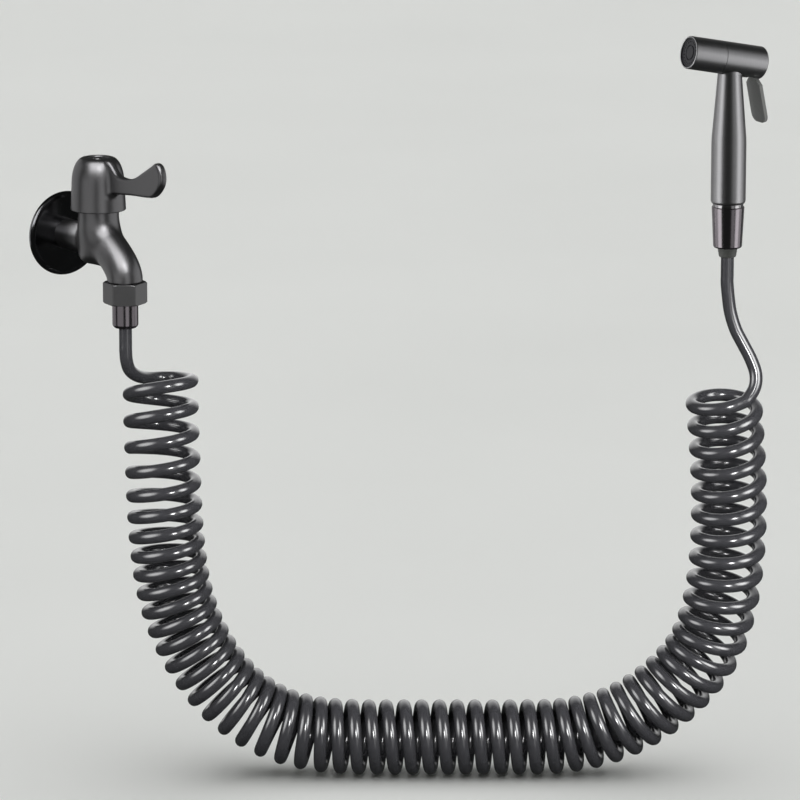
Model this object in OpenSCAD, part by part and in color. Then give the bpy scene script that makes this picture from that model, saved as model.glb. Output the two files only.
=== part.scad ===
// Wall tap with a coiled hose and a T-head trigger sprayer, in millimetres.
// The origin is where the tap's inlet meets the wall. +Z is up and the tap reaches out along -Y.

/* [Wall inlet] */
// Outside diameter of the G 1/2 thread that screws into the wall
wall_thread_d = 20.96; // [19:0.01:21]
// Length of the wall thread
wall_thread_len = 18; // [12:1:30]
// Diameter of the neck between the wall and the barrel
neck_d = 22; // [21.6:0.1:24]
// Water bore through the wall thread and the neck
inlet_bore = 11; // [8:0.5:13]
// Diameter of the wall flange
flange_d = 62.4; // [46:0.2:75]
// How far the flange stands off the wall
flange_h = 3.2; // [3:0.1:9]
// Sheet thickness of the flange
flange_sheet = 1.4; // [1:0.1:2]
// Distance from the wall to the barrel's axis
inlet_reach = 45.5; // [38:0.5:70]

/* [Tap barrel] */
// Outside diameter of the barrel
barrel_d = 30; // [29:0.5:34]
// How far the barrel's rounded end hangs below the inlet's axis
barrel_drop = 15; // [13:0.5:20]
// Height of the barrel's top above the inlet's axis
barrel_top = 31; // [29:0.5:36]
// Radius of the barrel's lower edge
barrel_corner = 8; // [3:0.5:12]
// Distance from the barrel's axis to the outlet's axis
spout_reach = 34; // [32:1:50]
// Outside diameter of the spout
spout_d = 26; // [24:0.5:28]
// Water bore of the spout
spout_bore = 12; // [8:0.5:13]
// How far the hose nut's top lies below the inlet's axis
spout_drop = 24; // [22:1:34]
// Length of the threaded spigot below the spout
spigot_len = 8; // [6:0.5:10]

/* [Ceramic cartridge] */
// Outside diameter of the cartridge
cartridge_d = 18; // [17.4:0.2:19]
// Height of the cartridge's seat above the inlet's axis
seat_z = 7; // [6.5:0.5:9]
// Thickness of the rubber gasket under the cartridge
gasket_h = 1; // [0.6:0.1:1.4]
// Diameter of the two ceramic discs
disc_d = 14; // [12:0.5:14.4]
// Thickness of each ceramic disc
disc_h = 3; // [2:0.2:3.4]
// Diameter of the spindle's shaft
spindle_d = 8; // [6:0.2:9]
// Width of the spindle's square drive
drive_w = 5.6; // [4:0.1:6]
// Height of the spindle's foot
foot_h = 3.2; // [2:0.2:3.6]

/* [Tap handle] */
// Diameter of the handle's skirt
cap_d = 40.5; // [38:0.5:48]
// Height of the handle from its skirt to its flat top
cap_h = 38.5; // [36:0.5:46]
// How far the skirt reaches down over the barrel
cap_overlap = 6.5; // [3:0.5:8]
// Diameter of the handle's flat top
cap_top_d = 21; // [20:0.5:26]
// Diameter of the recess in the flat top
index_d = 17; // [14:0.5:18.4]
// Depth of the recess in the flat top
index_h = 2.4; // [1.6:0.2:3.4]
// Wall thickness of the handle's skirt
cap_wall = 3; // [2:0.2:3.4]
// Reach of the lever from the barrel's axis
lever_reach = 86; // [70:1:110]
// Thickness of the lever
lever_t = 6.6; // [5:0.2:8]
// Height of the lever's waist
lever_waist = 11.5; // [9:0.5:14]
// Height of the lever's flared end
lever_flare = 26; // [20:0.5:30]
// Height of the lever's lower edge above the cap's base
lever_foot = 14.5; // [12:0.5:16]
// How far the lever's lower edge rises on its way out
lever_rise = 5; // [0:0.5:8]

/* [Hose nut] */
// Width across the flats of the hose nut
nut_af = 28.3; // [27:0.1:32]
// Height of the hose nut
nut_h = 15.5; // [14:0.5:20]
// How far the hose nut's corners are turned down at each end
nut_chamfer = 1.2; // [0.8:0.1:2]
// Diameter of the crimped ferrule under the hose nut
ferrule_d = 19; // [17:0.5:22]
// Length of the crimped ferrule
ferrule_len = 18; // [12:0.5:26]

/* [Hose] */
// Outside diameter of the hose
hose_d = 9.4; // [8:0.1:9.6]
// Outside diameter of the coil
coil_d = 55.8; // [50:0.2:58]
// Number of turns in the coil
coil_turns = 58; // [40:1:60]
// How much wider the first turns at the tap stand than the middle ones, as a part of their pitch
tap_spread = 0.5; // [0.2:0.05:0.6]
// How much wider the last turns at the sprayer stand, as a part of the same pitch
sprayer_spread = 0.35; // [0.1:0.05:0.4]

/* [Cone nut] */
// Diameter of the cone nut at its top
cone_top_d = 23.6; // [23:0.1:26]
// Diameter of the cone nut at its bottom
cone_base_d = 20.8; // [20:0.1:23]
// Height of the cone nut
cone_h = 30; // [27:0.5:36]
// Diameter of the hose collar at the cone nut
collar_d = 14.8; // [13:0.1:15.6]
// Diameter of the hose collar at its lower end
collar_tip_d = 12.4; // [11.4:0.1:12.8]
// How far the hose collar shows below the cone nut
collar_drop = 7; // [4:0.5:12]

/* [Sprayer grip] */
// Outside diameter of the grip
grip_d = 25.2; // [24.8:0.1:28]
// Length of the grip's straight part
grip_len = 47; // [30:0.5:70]
// Length from the start of the taper to the head's axis
taper_len = 58.5; // [45:0.5:80]
// Diameter of the grip where it meets the head
grip_neck_d = 17.5; // [15:0.5:18]
// Wall thickness of the grip
grip_wall = 1.3; // [0.8:0.1:1.4]
// Height of the bright ring between cone nut and grip
ring_h = 2; // [1:0.5:4]
// Outside diameter of the water tube in the grip
tube_d = 8; // [7:0.2:9]

/* [Sprayer head] */
// Outside diameter of the head
head_d = 23.7; // [23.2:0.1:25]
// Length of the head in front of the grip's axis
head_front = 35; // [31:0.2:44]
// Length of the head behind the grip's axis
head_back = 26; // [25.2:0.1:34]
// Distance from the grip's axis to the joint between head and sleeve
seam_x = 8.8; // [8.4:0.2:11]
// Upward tilt of the head in degrees
head_tilt = 11.4; // [0:0.2:14]
// Radius of the head's rear edge
head_edge = 1.6; // [0.6:0.1:2]
// Number of spray holes in the outer ring
spray_holes = 20; // [8:1:24]
// Diameter of a spray hole
spray_hole_d = 1; // [0.8:0.1:1.2]

/* [Trigger] */
// Width of the trigger's blade
blade_w = 19; // [14:0.5:24]
// Length of the trigger from its pin to its tip
blade_len = 37.5; // [26:0.5:44]
// Thickness of the trigger's plate
blade_t = 2.5; // [2:0.1:2.8]
// Width of the trigger's neck
blade_neck_w = 9; // [8:0.2:10]
// Backward lean of the trigger at rest, in degrees from square to the head
blade_lean = 23; // [18:0.5:25]

/* [Clearances] */
// Radial gap of a threaded joint
thread_gap = 0.08; // [0.04:0.01:0.1]
// Radial gap of a turning or sliding shaft
run_gap = 0.08; // [0.04:0.01:0.1]
// Radial gap of a part that is only pushed into place
seat_gap = 0.1; // [0.05:0.05:0.2]
// Gap beside a part that moves in a slot
slot_gap = 0.3; // [0.2:0.05:0.4]

/* [Hidden] */

$fn = 48;
eps = 0.01;

// Finishes
gunmetal = [0.33, 0.33, 0.35];
flat_grey = [0.30, 0.30, 0.31];
gloss_black = [0.06, 0.06, 0.06];
hose_grey = [0.20, 0.20, 0.22];
brass = [0.78, 0.62, 0.32];
steel = [0.72, 0.72, 0.74];
rubber = [0.10, 0.10, 0.10];
ceramic = [0.90, 0.89, 0.86];

// Tap
neck_r = neck_d / 2;
barrel_r = barrel_d / 2;
spout_r = spout_d / 2;
outlet_thread_r = wall_thread_d / 2;
relief_r = 9.8;                     // relief groove between the wall thread and the neck
relief_w = 2;
flange_lip = 3;                     // width of the flange's turned rim on the wall
flange_round = 3.5;                 // width of its rounded edge
flange_foot = 0.8;                  // height of its straight edge on the wall
chamber_r = 6.5;                    // water chamber under the cartridge
chamber_floor = 2.5;                // metal left below the chamber
gallery_r = 11.6;                   // ring channel round the cartridge
port_r = 3.4;                       // drilling from the ring channel down into the spout
tap_axis = [0, -inlet_reach, 0];
outlet_y = -inlet_reach - spout_reach;
nut_top_z = -spout_drop;
nut_base_z = nut_top_z - nut_h;

// Cartridge, bottom to top
disc_z = seat_z + gasket_h;
moving_z = disc_z + disc_h;
foot_z = moving_z + disc_h;
disc_room_z = foot_z + foot_h + slot_gap;
gallery_z = moving_z - 0.5;
gallery_top_z = disc_room_z + 0.5;
cartridge_hex_h = 5;
cartridge_neck_h = 4.5;
cartridge_neck_r = 6.2;
cartridge_hex_af = 2 * (barrel_r - 3.6);
cartridge_hex_z = barrel_top;
cartridge_neck_z = cartridge_hex_z + cartridge_hex_h;
cartridge_end_z = cartridge_neck_z + cartridge_neck_h;
cartridge_ring_z = gallery_top_z + 3.2;
spindle_ring_z = cartridge_hex_z + 0.6;
clip_h = 0.8;
clip_z = cartridge_end_z + 0.3;
drive_z = clip_z + clip_h + 0.6;
ring_wire = 1.6;                    // thickness of the small O-rings

// Handle
cap_base_z = barrel_top - cap_overlap;
cap_top_z = cap_base_z + cap_h;
cap_r = cap_d / 2;
cap_draft = 0.9;                    // how much narrower the skirt is where the dome starts
dome_z = cap_base_z + cap_h * 0.5;
index_floor_z = cap_top_z - index_h;
cap_roof = 3;                       // metal under the recess
cap_ceiling_z = index_floor_z - cap_roof;
boss_r = drive_w * 0.71 + 2;
drive_top_z = cap_ceiling_z;
screw_r = 1.6;
screw_head_r = 3.2;
screw_head_h = 1.6;
screw_len = 9;
lever_z = cap_base_z + lever_foot;

// Hose nut, washer and tail on the outlet's axis
spigot_z = nut_top_z - spigot_len;
washer_h = 2;
tail_flange_h = 2;
tail_flange_z = spigot_z - washer_h - tail_flange_h;
tail_r = 7.4;
tail_bore_r = 2.6;
tail_flange_r = outlet_thread_r - 0.6;
nut_foot_gap = 0.2;                 // between the hose nut and the ferrule
ferrule_z = nut_base_z - nut_foot_gap;
ferrule_base_z = ferrule_z - ferrule_len;
tap_tail_z = ferrule_z - 5;

// The plane in which the hose hangs, turned about the outlet's axis
hang_turn = -36.5;
hose_r = hose_d / 2;
hose_room = 0.1;                    // gap round the hose in its ferrule and collar

// The coil's centre line in that plane: along, away from the wall's outer side, up
route = [[24.5, 15, -91], [25, 8, -126], [26, 4, -160], [27, 2, -190], [29, 0, -221],
    [33.5, 0, -254], [42.5, 0, -284], [57, 0, -312], [77, 0, -336.5], [103, 0, -355],
    [133, 0, -365], [165, 0, -368], [200, 0, -368.3], [240, 0, -368.3], [285, 0, -368.3],
    [322, 0, -367], [354, 0, -359.7], [382.5, 0, -345], [407, 0, -324], [425, -1.5, -299],
    [435, -4, -268], [439.5, -7, -236], [441, -10, -205], [440.5, -14, -174],
    [438.5, -18.5, -142], [434.7, -26, -99]];
sprayer_at = [436.4, -29];           // the sprayer's axis in the same plane
sprayer_turn = 206.7;                // heading of the nozzle, from the plane's first axis
tap_lead_z = -66;                   // where the straight lead from the tap ends
sprayer_lead_z = -9.5;              // where the straight lead from the sprayer ends
// Where the hose leaves the straight lead at the tap and curls into the first turn
tap_join = [[0.5, 1, -83], [2.5, 6, -91], [7.5, 16, -97.5], [15, 29, -102],
    [25, 36.5, -103.5], [37, 33.5, -103]];
// Where it rises from the last turn and sweeps across to the sprayer
sprayer_join = [[452.5, -43, -100.5], [457, -40, -93], [457.5, -37, -84], [454, -34.5, -74],
    [448.5, -32.5, -63.5], [443, -31, -53], [439.2, -29.8, -41], [437.5, -29.2, -30]];

// Sprayer, upwards from the cone nut's base
cone_z = 7.5;
collar_top = 6;
swivel_seat = 15;
sprayer_flange_h = 2.4;
washer_base = swivel_seat + sprayer_flange_h + slot_gap / 3;
spigot_base = washer_base + washer_h;
ring_base = cone_h - 0.5;
ring_r = grip_d / 2 - 1.6;
grip_base = ring_base + ring_h + 0.5;
plug_h = 10;
tube_base = grip_base + 4;
taper_base = grip_base + grip_len;
head_base = taper_base + taper_len;
grip_r = grip_d / 2;
grip_neck_r = grip_neck_d / 2;
collar_r = collar_d / 2;
tube_r = tube_d / 2;
tube_wall = 1;

// Head, along its own axis from the grip's axis, + towards the nozzle
head_r = head_d / 2;
bore_r = 8;
bore_back = -13;
lever_room_r = 5.4;
lever_room_back = -23.3;
spigot_r = 9.6;
spigot_front = 17;
sleeve_step = spigot_front + 2.4;
sleeve_bore_r = 9;
plate_r = 10.5;
face_depth = 1;                     // from the sleeve's rim back to the spray face
plate_gasket_h = 0.8;
plate_h = 2.9;
plate_seat = head_front - face_depth - plate_h - plate_gasket_h;
valve_r = bore_r - seat_gap;
valve_back = bore_back + 0.1;
gland_front = -9.5;
valve_room_r = 5.8;
valve_seat_back = 3;
valve_seat_front = 5;
valve_front = 9;
seat_hole_r = 3;
stem_r = 2;
stem_neck_r = 1.1;
stem_collar_r = 1.9;
stem_collar_t = 1.2;
shoulder_back = -1.6;
shoulder_t = 1.8;
seal_t = 2.7;

// Trigger, about its pin
pin_r = 1.25;
pin_x = -18.5;
pin_z = -8;
pin_from = -7.6;                    // the pin's hole is blind on this side
pin_to = 8.2;
knuckle_r = 3;
arm_w = 6.4;
arm_top = 9.2;                      // height of the fork above the pin
fork_gap = 0.25;
stem_collar_x = pin_x - blade_t / 2 - fork_gap;
blade_set = 2.1;                    // how far the blade stands behind its pin
slot_back = -24;
shoulder_len = 4.6;                 // from the neck to the blade's full width
neck_len = 4.2;
blade_tip_r = 6;

// ---- shapes and curves used by several parts ----

// Tube between two radii
module ring(r_in, r_out, h) {
    rotate_extrude()
        translate([r_in, 0])
            square([r_out - r_in, h]);
}

// O-ring lying in the XY plane
module o_ring(r_mid, wire) {
    rotate_extrude()
        translate([r_mid, 0])
            circle(d = wire, $fn = 16);
}

// Unit vector, and a point on a cubic curve with four control points
function unit(v) = v / norm(v);
function cubic(p, t) = (1 - t) ^ 3 * p[0] + 3 * (1 - t) ^ 2 * t * p[1]
    + 3 * (1 - t) * t ^ 2 * p[2] + t ^ 3 * p[3];

// Point between p[1] and p[2] on the smooth curve through four points
function through(p, t) = 0.5 * (2 * p[1] + t * (p[2] - p[0])
    + t ^ 2 * (2 * p[0] - 5 * p[1] + 4 * p[2] - p[3])
    + t ^ 3 * (3 * p[1] - p[0] - 3 * p[2] + p[3]));
function at_end(p, i) = p[max(0, min(len(p) - 1, i))];
function open_curve(p, n) = concat(
    [for (i = [0:len(p) - 2], k = [0:n - 1])
        through([at_end(p, i - 1), p[i], p[i + 1], at_end(p, i + 2)], k / n)],
    [p[len(p) - 1]]);
function closed_curve(p, n) = [for (i = [0:len(p) - 1], k = [0:n - 1])
    through([p[(i + len(p) - 1) % len(p)], p[i], p[(i + 1) % len(p)], p[(i + 2) % len(p)]], k / n)];

// Heading of a path at each of its points
function heading(p, i) = unit(at_end(p, i + 1) - at_end(p, i - 1));

// Part of a that is square to t, and such a direction carried along a path without twist
function square_to(a, t) = unit(a - (a * t) * t);
function carried(path, side) =
    [for (i = 0, a = square_to(side, heading(path, 0)); i < len(path);
        i = i + 1, a = square_to(a, heading(path, min(i, len(path) - 1)))) a];

// One polyhedron swept along a path: each ring of corners is square to the path, and the first
// ring has a corner towards side
module sweep(path, r, sides, side) {
    n = len(path);
    first = carried(path, side);
    corners = [for (i = [0:n - 1])
        let (a = first[i], b = cross(heading(path, i), a))
        for (k = [0:sides - 1])
            let (f = 360 * k / sides)
            path[i] + r * (cos(f) * a + sin(f) * b)];
    walls = [for (i = [0:n - 2], k = [0:sides - 1])
        let (m = (k + 1) % sides, lo = i * sides, hi = lo + sides)
        each [[lo + k, hi + k, hi + m], [lo + k, hi + m, lo + m]]];
    start = [for (k = [1:sides - 2]) [0, k, k + 1]];
    last = (n - 1) * sides;
    end = [for (k = [1:sides - 2]) [last, last + k + 1, last + k]];
    polyhedron(points = corners, faces = concat(walls, start, end), convexity = 10);
}

// ---- places ----

// The barrel's axis, the outlet's axis and the hanging plane of the hose
module at_barrel() translate(tap_axis) children();
module at_outlet() translate([0, outlet_y, 0]) children();
module at_hang() at_outlet() rotate([0, 0, hang_turn]) children();

// The sprayer stands on its cone nut; x points along the nozzle's heading
module at_sprayer() {
    at_hang()
        translate([sprayer_at[0], sprayer_at[1], cone_z])
            rotate([0, 0, sprayer_turn])
                children();
}

// The head's axis along x, crossing the grip's axis
module at_head() {
    at_sprayer()
        translate([0, 0, head_base])
            rotate([0, -head_tilt, 0])
                children();
}

// Something revolved about the head's axis, drawn with its height along that axis
module along_head(x) {
    translate([x, 0, 0])
        rotate([0, 90, 0])
            children();
}

// ---- tap ----

drill_extra = 0.6;                  // the outlet's drilling is wider than the spout's channel
drill_depth = 3.2;
spout_end = [0, -spout_reach, nut_top_z + nut_foot_gap];
spout_line = [[0, -1, 7], [0, -18, -4], [0, -spout_reach, -spout_drop / 2 - 1],
    spout_end + [0, 0, 1]];

module spout_tube(r, from, sides) {
    n = 14;
    path = concat([for (i = [from:n]) cubic(spout_line, i / n)], [spout_end]);
    sweep(path, r, sides, [1, 0, 0]);
}

module tap_body() {
    color(gunmetal)
    difference() {
        union() {
            // wall thread and neck
            rotate([90, 0, 0])
                cylinder(r = neck_r, h = inlet_reach);
            translate([0, wall_thread_len, 0])
                rotate([90, 0, 0])
                    cylinder(d = wall_thread_d, h = wall_thread_len);
            at_barrel() {
                // barrel with a rounded foot
                rotate_extrude()
                    union() {
                        translate([0, -barrel_drop])
                            square([barrel_r - barrel_corner, barrel_corner + eps]);
                        translate([0, barrel_corner - barrel_drop])
                            square([barrel_r, barrel_top + barrel_drop - barrel_corner]);
                        intersection() {
                            translate([barrel_r - barrel_corner, barrel_corner - barrel_drop])
                                circle(barrel_corner);
                            translate([0, -barrel_drop])
                                square(barrel_r);
                        }
                    }
                spout_tube(spout_r, 0, 32);
            }
            // threaded spigot for the hose nut
            at_outlet()
                translate([0, 0, spigot_z])
                    cylinder(r = outlet_thread_r, h = spigot_len + 1);
        }
        rotate([90, 0, 0])
            ring(relief_r, neck_r + 1, relief_w);
        // inlet bore, chamber, ring channel, cartridge bore and drilling to the spout
        translate([0, wall_thread_len + 1, 0])
            rotate([90, 0, 0])
                cylinder(d = inlet_bore, h = wall_thread_len + inlet_reach + 1);
        at_barrel() {
            translate([0, 0, chamber_floor - barrel_drop])
                cylinder(r = chamber_r, h = barrel_drop - chamber_floor + seat_z + eps);
            translate([0, 0, seat_z])
                cylinder(r = cartridge_d / 2 + thread_gap, h = barrel_top - seat_z + 1);
            translate([0, 0, gallery_z])
                cylinder(r = gallery_r, h = gallery_top_z - gallery_z);
            translate([0, -gallery_r, -4])
                cylinder(r = port_r, h = gallery_z + 4.5);
            spout_tube(spout_bore / 2, 6, 16);
        }
        at_outlet()
            translate([0, 0, spigot_z - 1])
                cylinder(d = spout_bore + drill_extra, h = spigot_len + drill_depth);
    }
}

module wall_flange() {
    r = flange_d / 2;
    bore = max(neck_r, wall_thread_d / 2) + slot_gap;
    color(gloss_black)
    rotate([90, 0, 0])
        difference() {
            rotate_extrude($fn = 96)
                polygon(concat([[0, 0], [r, 0]],
                    [for (a = [0:15:90]) [r - flange_round * (1 - cos(a)),
                        flange_foot + (flange_h - flange_foot) * sin(a)]],
                    [[0, flange_h]]));
            translate([0, 0, -1])
                cylinder(r = bore, h = flange_h + 2);
            translate([0, 0, -1])
                ring(bore + flange_sheet, r - flange_lip, flange_h - flange_sheet + 1);
        }
}

module cartridge_body() {
    r = cartridge_d / 2;
    window = 2 * disc_d / 5;
    color(brass)
    at_barrel()
        difference() {
            union() {
                translate([0, 0, disc_z])
                    cylinder(r = r, h = cartridge_hex_z - disc_z);
                translate([0, 0, cartridge_hex_z])
                    cylinder(d = cartridge_hex_af / cos(30), h = cartridge_hex_h, $fn = 6);
                translate([0, 0, cartridge_neck_z - eps])
                    cylinder(r = cartridge_neck_r, h = cartridge_neck_h + eps);
            }
            translate([0, 0, disc_z - 1])
                cylinder(d = disc_d + 2 * seat_gap, h = disc_room_z - disc_z + 1);
            translate([0, 0, disc_z])
                cylinder(d = spindle_d + 2 * run_gap, h = cartridge_end_z - disc_z + 1);
            // side windows for the water
            for (a = [45, 225])
                rotate([0, 0, a])
                    translate([0, -window / 2, moving_z])
                        cube([r + 1, window, disc_room_z - moving_z - 0.6]);
            // groove for the O-ring, and room for the spindle's O-ring
            translate([0, 0, cartridge_ring_z - ring_wire / 2])
                ring(r - ring_wire + 0.2, r + 1, ring_wire);
            translate([0, 0, spindle_ring_z])
                cylinder(r = spindle_d / 2 + ring_wire - 0.1, h = ring_wire);
        }
}

module cartridge_gasket() {
    color(rubber)
    at_barrel()
        translate([0, 0, seat_z])
            ring(chamber_r - 0.6, cartridge_d / 2 - 0.2, gasket_h);
}

module cartridge_o_ring() {
    color(rubber)
    at_barrel()
        translate([0, 0, cartridge_ring_z])
            o_ring(cartridge_d / 2 - ring_wire / 2 + 0.14, ring_wire - 0.2);
}

// A ceramic disc with two openings a quarter turn wide
module quarter_ports(r, h) {
    for (a = [0, 180])
        rotate([0, 0, a])
            translate([0.8, 0.8, -1])
                intersection() {
                    cube([r, r, h + 2]);
                    cylinder(r = r - 2.4, h = h + 2);
                }
}

module fixed_disc() {
    color(ceramic)
    at_barrel()
        translate([0, 0, disc_z])
            difference() {
                cylinder(d = disc_d, h = disc_h);
                quarter_ports(disc_d / 2, disc_h);
            }
}

module moving_disc() {
    color(ceramic)
    at_barrel()
        translate([0, 0, moving_z])
            difference() {
                cylinder(d = disc_d, h = disc_h);
                rotate([0, 0, 90])
                    quarter_ports(disc_d / 2, disc_h);
                translate([-1.5, -disc_d, disc_h - 1.2])
                    cube([3, 2 * disc_d, 2]);
            }
}

module spindle() {
    color(brass)
    at_barrel()
        difference() {
            union() {
                translate([0, 0, foot_z])
                    cylinder(d = disc_d - 0.4, h = foot_h);
                // driving key in the moving disc
                translate([-1.4, 0.5 - disc_d / 2, foot_z - 1])
                    cube([2.8, disc_d - 1, 1.5]);
                translate([0, 0, foot_z + foot_h - eps])
                    cylinder(d = spindle_d, h = drive_z - foot_z - foot_h + eps);
                translate([-drive_w / 2, -drive_w / 2, drive_z - eps])
                    cube([drive_w, drive_w, drive_top_z - drive_z]);
            }
            // water ways in the foot
            for (a = [45, 225])
                rotate([0, 0, a])
                    translate([spindle_d / 2 + 0.2, -2.5, foot_z - 2])
                        cube([disc_d, 5, foot_h + 1.6]);
            translate([0, 0, clip_z - 0.1])
                ring(spindle_d / 2 - 0.6, spindle_d / 2 + 1, clip_h + 0.2);
            translate([0, 0, drive_top_z - screw_len])
                cylinder(r = screw_r + thread_gap, h = screw_len + 1);
        }
}

module spindle_o_ring() {
    color(rubber)
    at_barrel()
        translate([0, 0, spindle_ring_z + ring_wire / 2])
            o_ring(spindle_d / 2 + ring_wire / 2, ring_wire - 0.2);
}

module spindle_clip() {
    color(steel)
    at_barrel()
        translate([0, 0, clip_z])
            difference() {
                ring(spindle_d / 2 - 0.5, cartridge_neck_r - 0.4, clip_h);
                translate([0, -1.5, -1])
                    cube([cartridge_neck_r + 1, 3, clip_h + 2]);
            }
}

// Outline of the lever from the side: out from the barrel's axis, and up from its lower edge
function lever_outline() =
    let (r = lever_reach, w = lever_waist, f = lever_flare, u = lever_rise,
        root = cap_r - cap_wall - 2)
    closed_curve([[root, 0], [0.3 * r, 0.1 * u], [0.55 * r, 0.55 * u], [0.76 * r, 0.8 * u],
        [0.88 * r, u + 0.04 * f], [0.975 * r, u + 0.33 * f], [r, u + 0.62 * f],
        [0.97 * r, u + 0.9 * f], [0.91 * r, u + f], [0.84 * r, u + 0.88 * f],
        [0.71 * r, 0.8 * u + 0.68 * f], [0.6 * r, 0.6 * u + 0.35 * f + 0.4 * w],
        [0.5 * r, 0.55 * u + w], [0.41 * r, 0.5 * u + w], [0.32 * r, w + 4],
        [root, w + 12]], 4);

module lever() {
    rotate([0, 0, -90])
        rotate([90, 0, 0])
            translate([0, 0, -lever_t / 2])
                linear_extrude(lever_t)
                    polygon(lever_outline());
}

module tap_handle() {
    skirt_r = cap_r - cap_draft;
    shoulder = skirt_r - cap_top_d / 2;
    rise = cap_top_z - dome_z;
    dome = [for (a = [0:9:90]) [cap_top_d / 2 + shoulder * cos(a), dome_z + rise * sin(a)]];
    room_r = max(barrel_r + 0.6, cap_r - cap_wall);
    arch = [for (a = [0:15:90])
        [boss_r + (room_r - boss_r) * cos(a), dome_z + (cap_ceiling_z - dome_z) * sin(a)]];
    color(gunmetal)
    at_barrel()
        difference() {
            union() {
                rotate_extrude($fn = 64)
                    polygon(concat([[0, cap_base_z], [cap_r, cap_base_z]], dome,
                        [[0, cap_top_z]]));
                translate([0, 0, lever_z])
                    lever();
            }
            // hollow inside with a boss for the spindle
            rotate_extrude($fn = 64)
                polygon(concat([[boss_r, cap_base_z - 1], [room_r, cap_base_z - 1]], arch));
            translate([0, 0, cap_base_z - 1])
                cylinder(r = boss_r + eps, h = drive_z - cap_base_z + 1.4);
            translate([-drive_w / 2 - 0.05, -drive_w / 2 - 0.05, drive_z])
                cube([drive_w + 0.1, drive_w + 0.1, drive_top_z - drive_z + 0.1]);
            translate([0, 0, drive_top_z - 1])
                cylinder(r = screw_r + seat_gap, h = cap_roof + 2);
            translate([0, 0, index_floor_z])
                cylinder(d = index_d, h = index_h + 1);
        }
}

module handle_screw() {
    color(steel)
    at_barrel()
        difference() {
            union() {
                translate([0, 0, drive_top_z - screw_len + 1])
                    cylinder(r = screw_r, h = screw_len - 1 + cap_roof);
                translate([0, 0, index_floor_z])
                    cylinder(r = screw_head_r, h = screw_head_h - 0.4);
            }
            // cross recess
            for (a = [0, 90])
                rotate([0, 0, a])
                    translate([-1.6, -0.3, index_floor_z + 0.4])
                        cube([3.2, 0.6, 2]);
        }
}

module index_cap() {
    r = index_d / 2 - 0.15;
    lid_t = index_h - 0.8;
    color(gunmetal)
    at_barrel()
        translate([0, 0, cap_top_z - lid_t - 0.3])
            difference() {
                union() {
                    cylinder(r = r, h = lid_t);
                    // raised stud in the middle
                    translate([0, 0, lid_t - 4.6])
                        intersection() {
                            sphere(5.2, $fn = 40);
                            translate([0, 0, 4.5])
                                cylinder(r = 3, h = 2);
                        }
                }
                // dished face and room for the screw's head
                translate([0, 0, lid_t - 0.5])
                    ring(3.6, r - 0.9, 1);
                translate([0, 0, -0.1])
                    cylinder(r = screw_head_r + 0.3, h = lid_t - 0.7);
            }
}

// ---- hose end at the tap ----

module hose_nut() {
    bore = outlet_thread_r + thread_gap;
    corner = nut_af / 2 / cos(30);
    narrow = corner - nut_chamfer;
    wide = corner + nut_chamfer;
    rise = 1.4 * nut_chamfer;
    color(flat_grey)
    at_outlet()
        difference() {
            intersection() {
                translate([0, 0, nut_base_z])
                    rotate([0, 0, hang_turn + 60])
                        cylinder(r = corner, h = nut_h, $fn = 6);
                // both ends turned to a cone
                rotate_extrude($fn = 64)
                    polygon([[0, nut_base_z], [narrow, nut_base_z],
                        [wide, nut_base_z + rise], [wide, nut_top_z - rise],
                        [narrow, nut_top_z], [0, nut_top_z]]);
            }
            translate([0, 0, tail_flange_z])
                cylinder(r = bore, h = nut_top_z - tail_flange_z + 1);
            translate([0, 0, nut_base_z - 1])
                cylinder(r = tail_r + seat_gap, h = nut_h);
        }
}

module hose_nut_washer() {
    color(rubber)
    at_outlet()
        translate([0, 0, spigot_z - washer_h])
            ring(spout_bore / 2, tail_flange_r, washer_h);
}

module tap_hose_tail() {
    color(brass)
    at_outlet()
        difference() {
            union() {
                translate([0, 0, tail_flange_z])
                    cylinder(r = tail_flange_r, h = tail_flange_h);
                translate([0, 0, tap_tail_z])
                    cylinder(r = tail_r, h = tail_flange_z - tap_tail_z + eps);
            }
            translate([0, 0, tap_tail_z - 1])
                cylinder(r = tail_bore_r, h = tail_flange_z + tail_flange_h - tap_tail_z + 2);
        }
}

module tap_ferrule() {
    r = ferrule_d / 2;
    edge = 1.6;
    color(gunmetal)
    at_outlet()
        difference() {
            rotate_extrude()
                union() {
                    translate([0, ferrule_base_z + edge])
                        square([r, ferrule_len - edge]);
                    translate([0, ferrule_base_z])
                        square([r - edge, edge + eps]);
                    translate([r - edge, ferrule_base_z + edge])
                        circle(edge);
                }
            translate([0, 0, tap_tail_z])
                cylinder(r = tail_r + seat_gap, h = ferrule_len);
            translate([0, 0, ferrule_base_z - 1])
                cylinder(r = hose_r + hose_room, h = ferrule_len);
        }
}

// ---- hose ----

// Length along the coil's centre line, as a table of [length, place]
coil_r = coil_d / 2 - hose_r;
axis_points = open_curve(route, 6);
axis_steps = [for (i = 0, s = 0; i < len(axis_points);
    s = s + (i + 1 < len(axis_points) ? norm(axis_points[i + 1] - axis_points[i]) : 0), i = i + 1) s];
axis_len = axis_steps[len(axis_steps) - 1];
axis_tables = [for (c = [0:2]) [for (i = [0:len(axis_points) - 1]) [axis_steps[i], axis_points[i][c]]]];
function axis_at(s) = [for (c = [0:2]) lookup(s, axis_tables[c])];
function axis_heading(s) = unit(axis_at(s + 9) - axis_at(s - 9));

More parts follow.
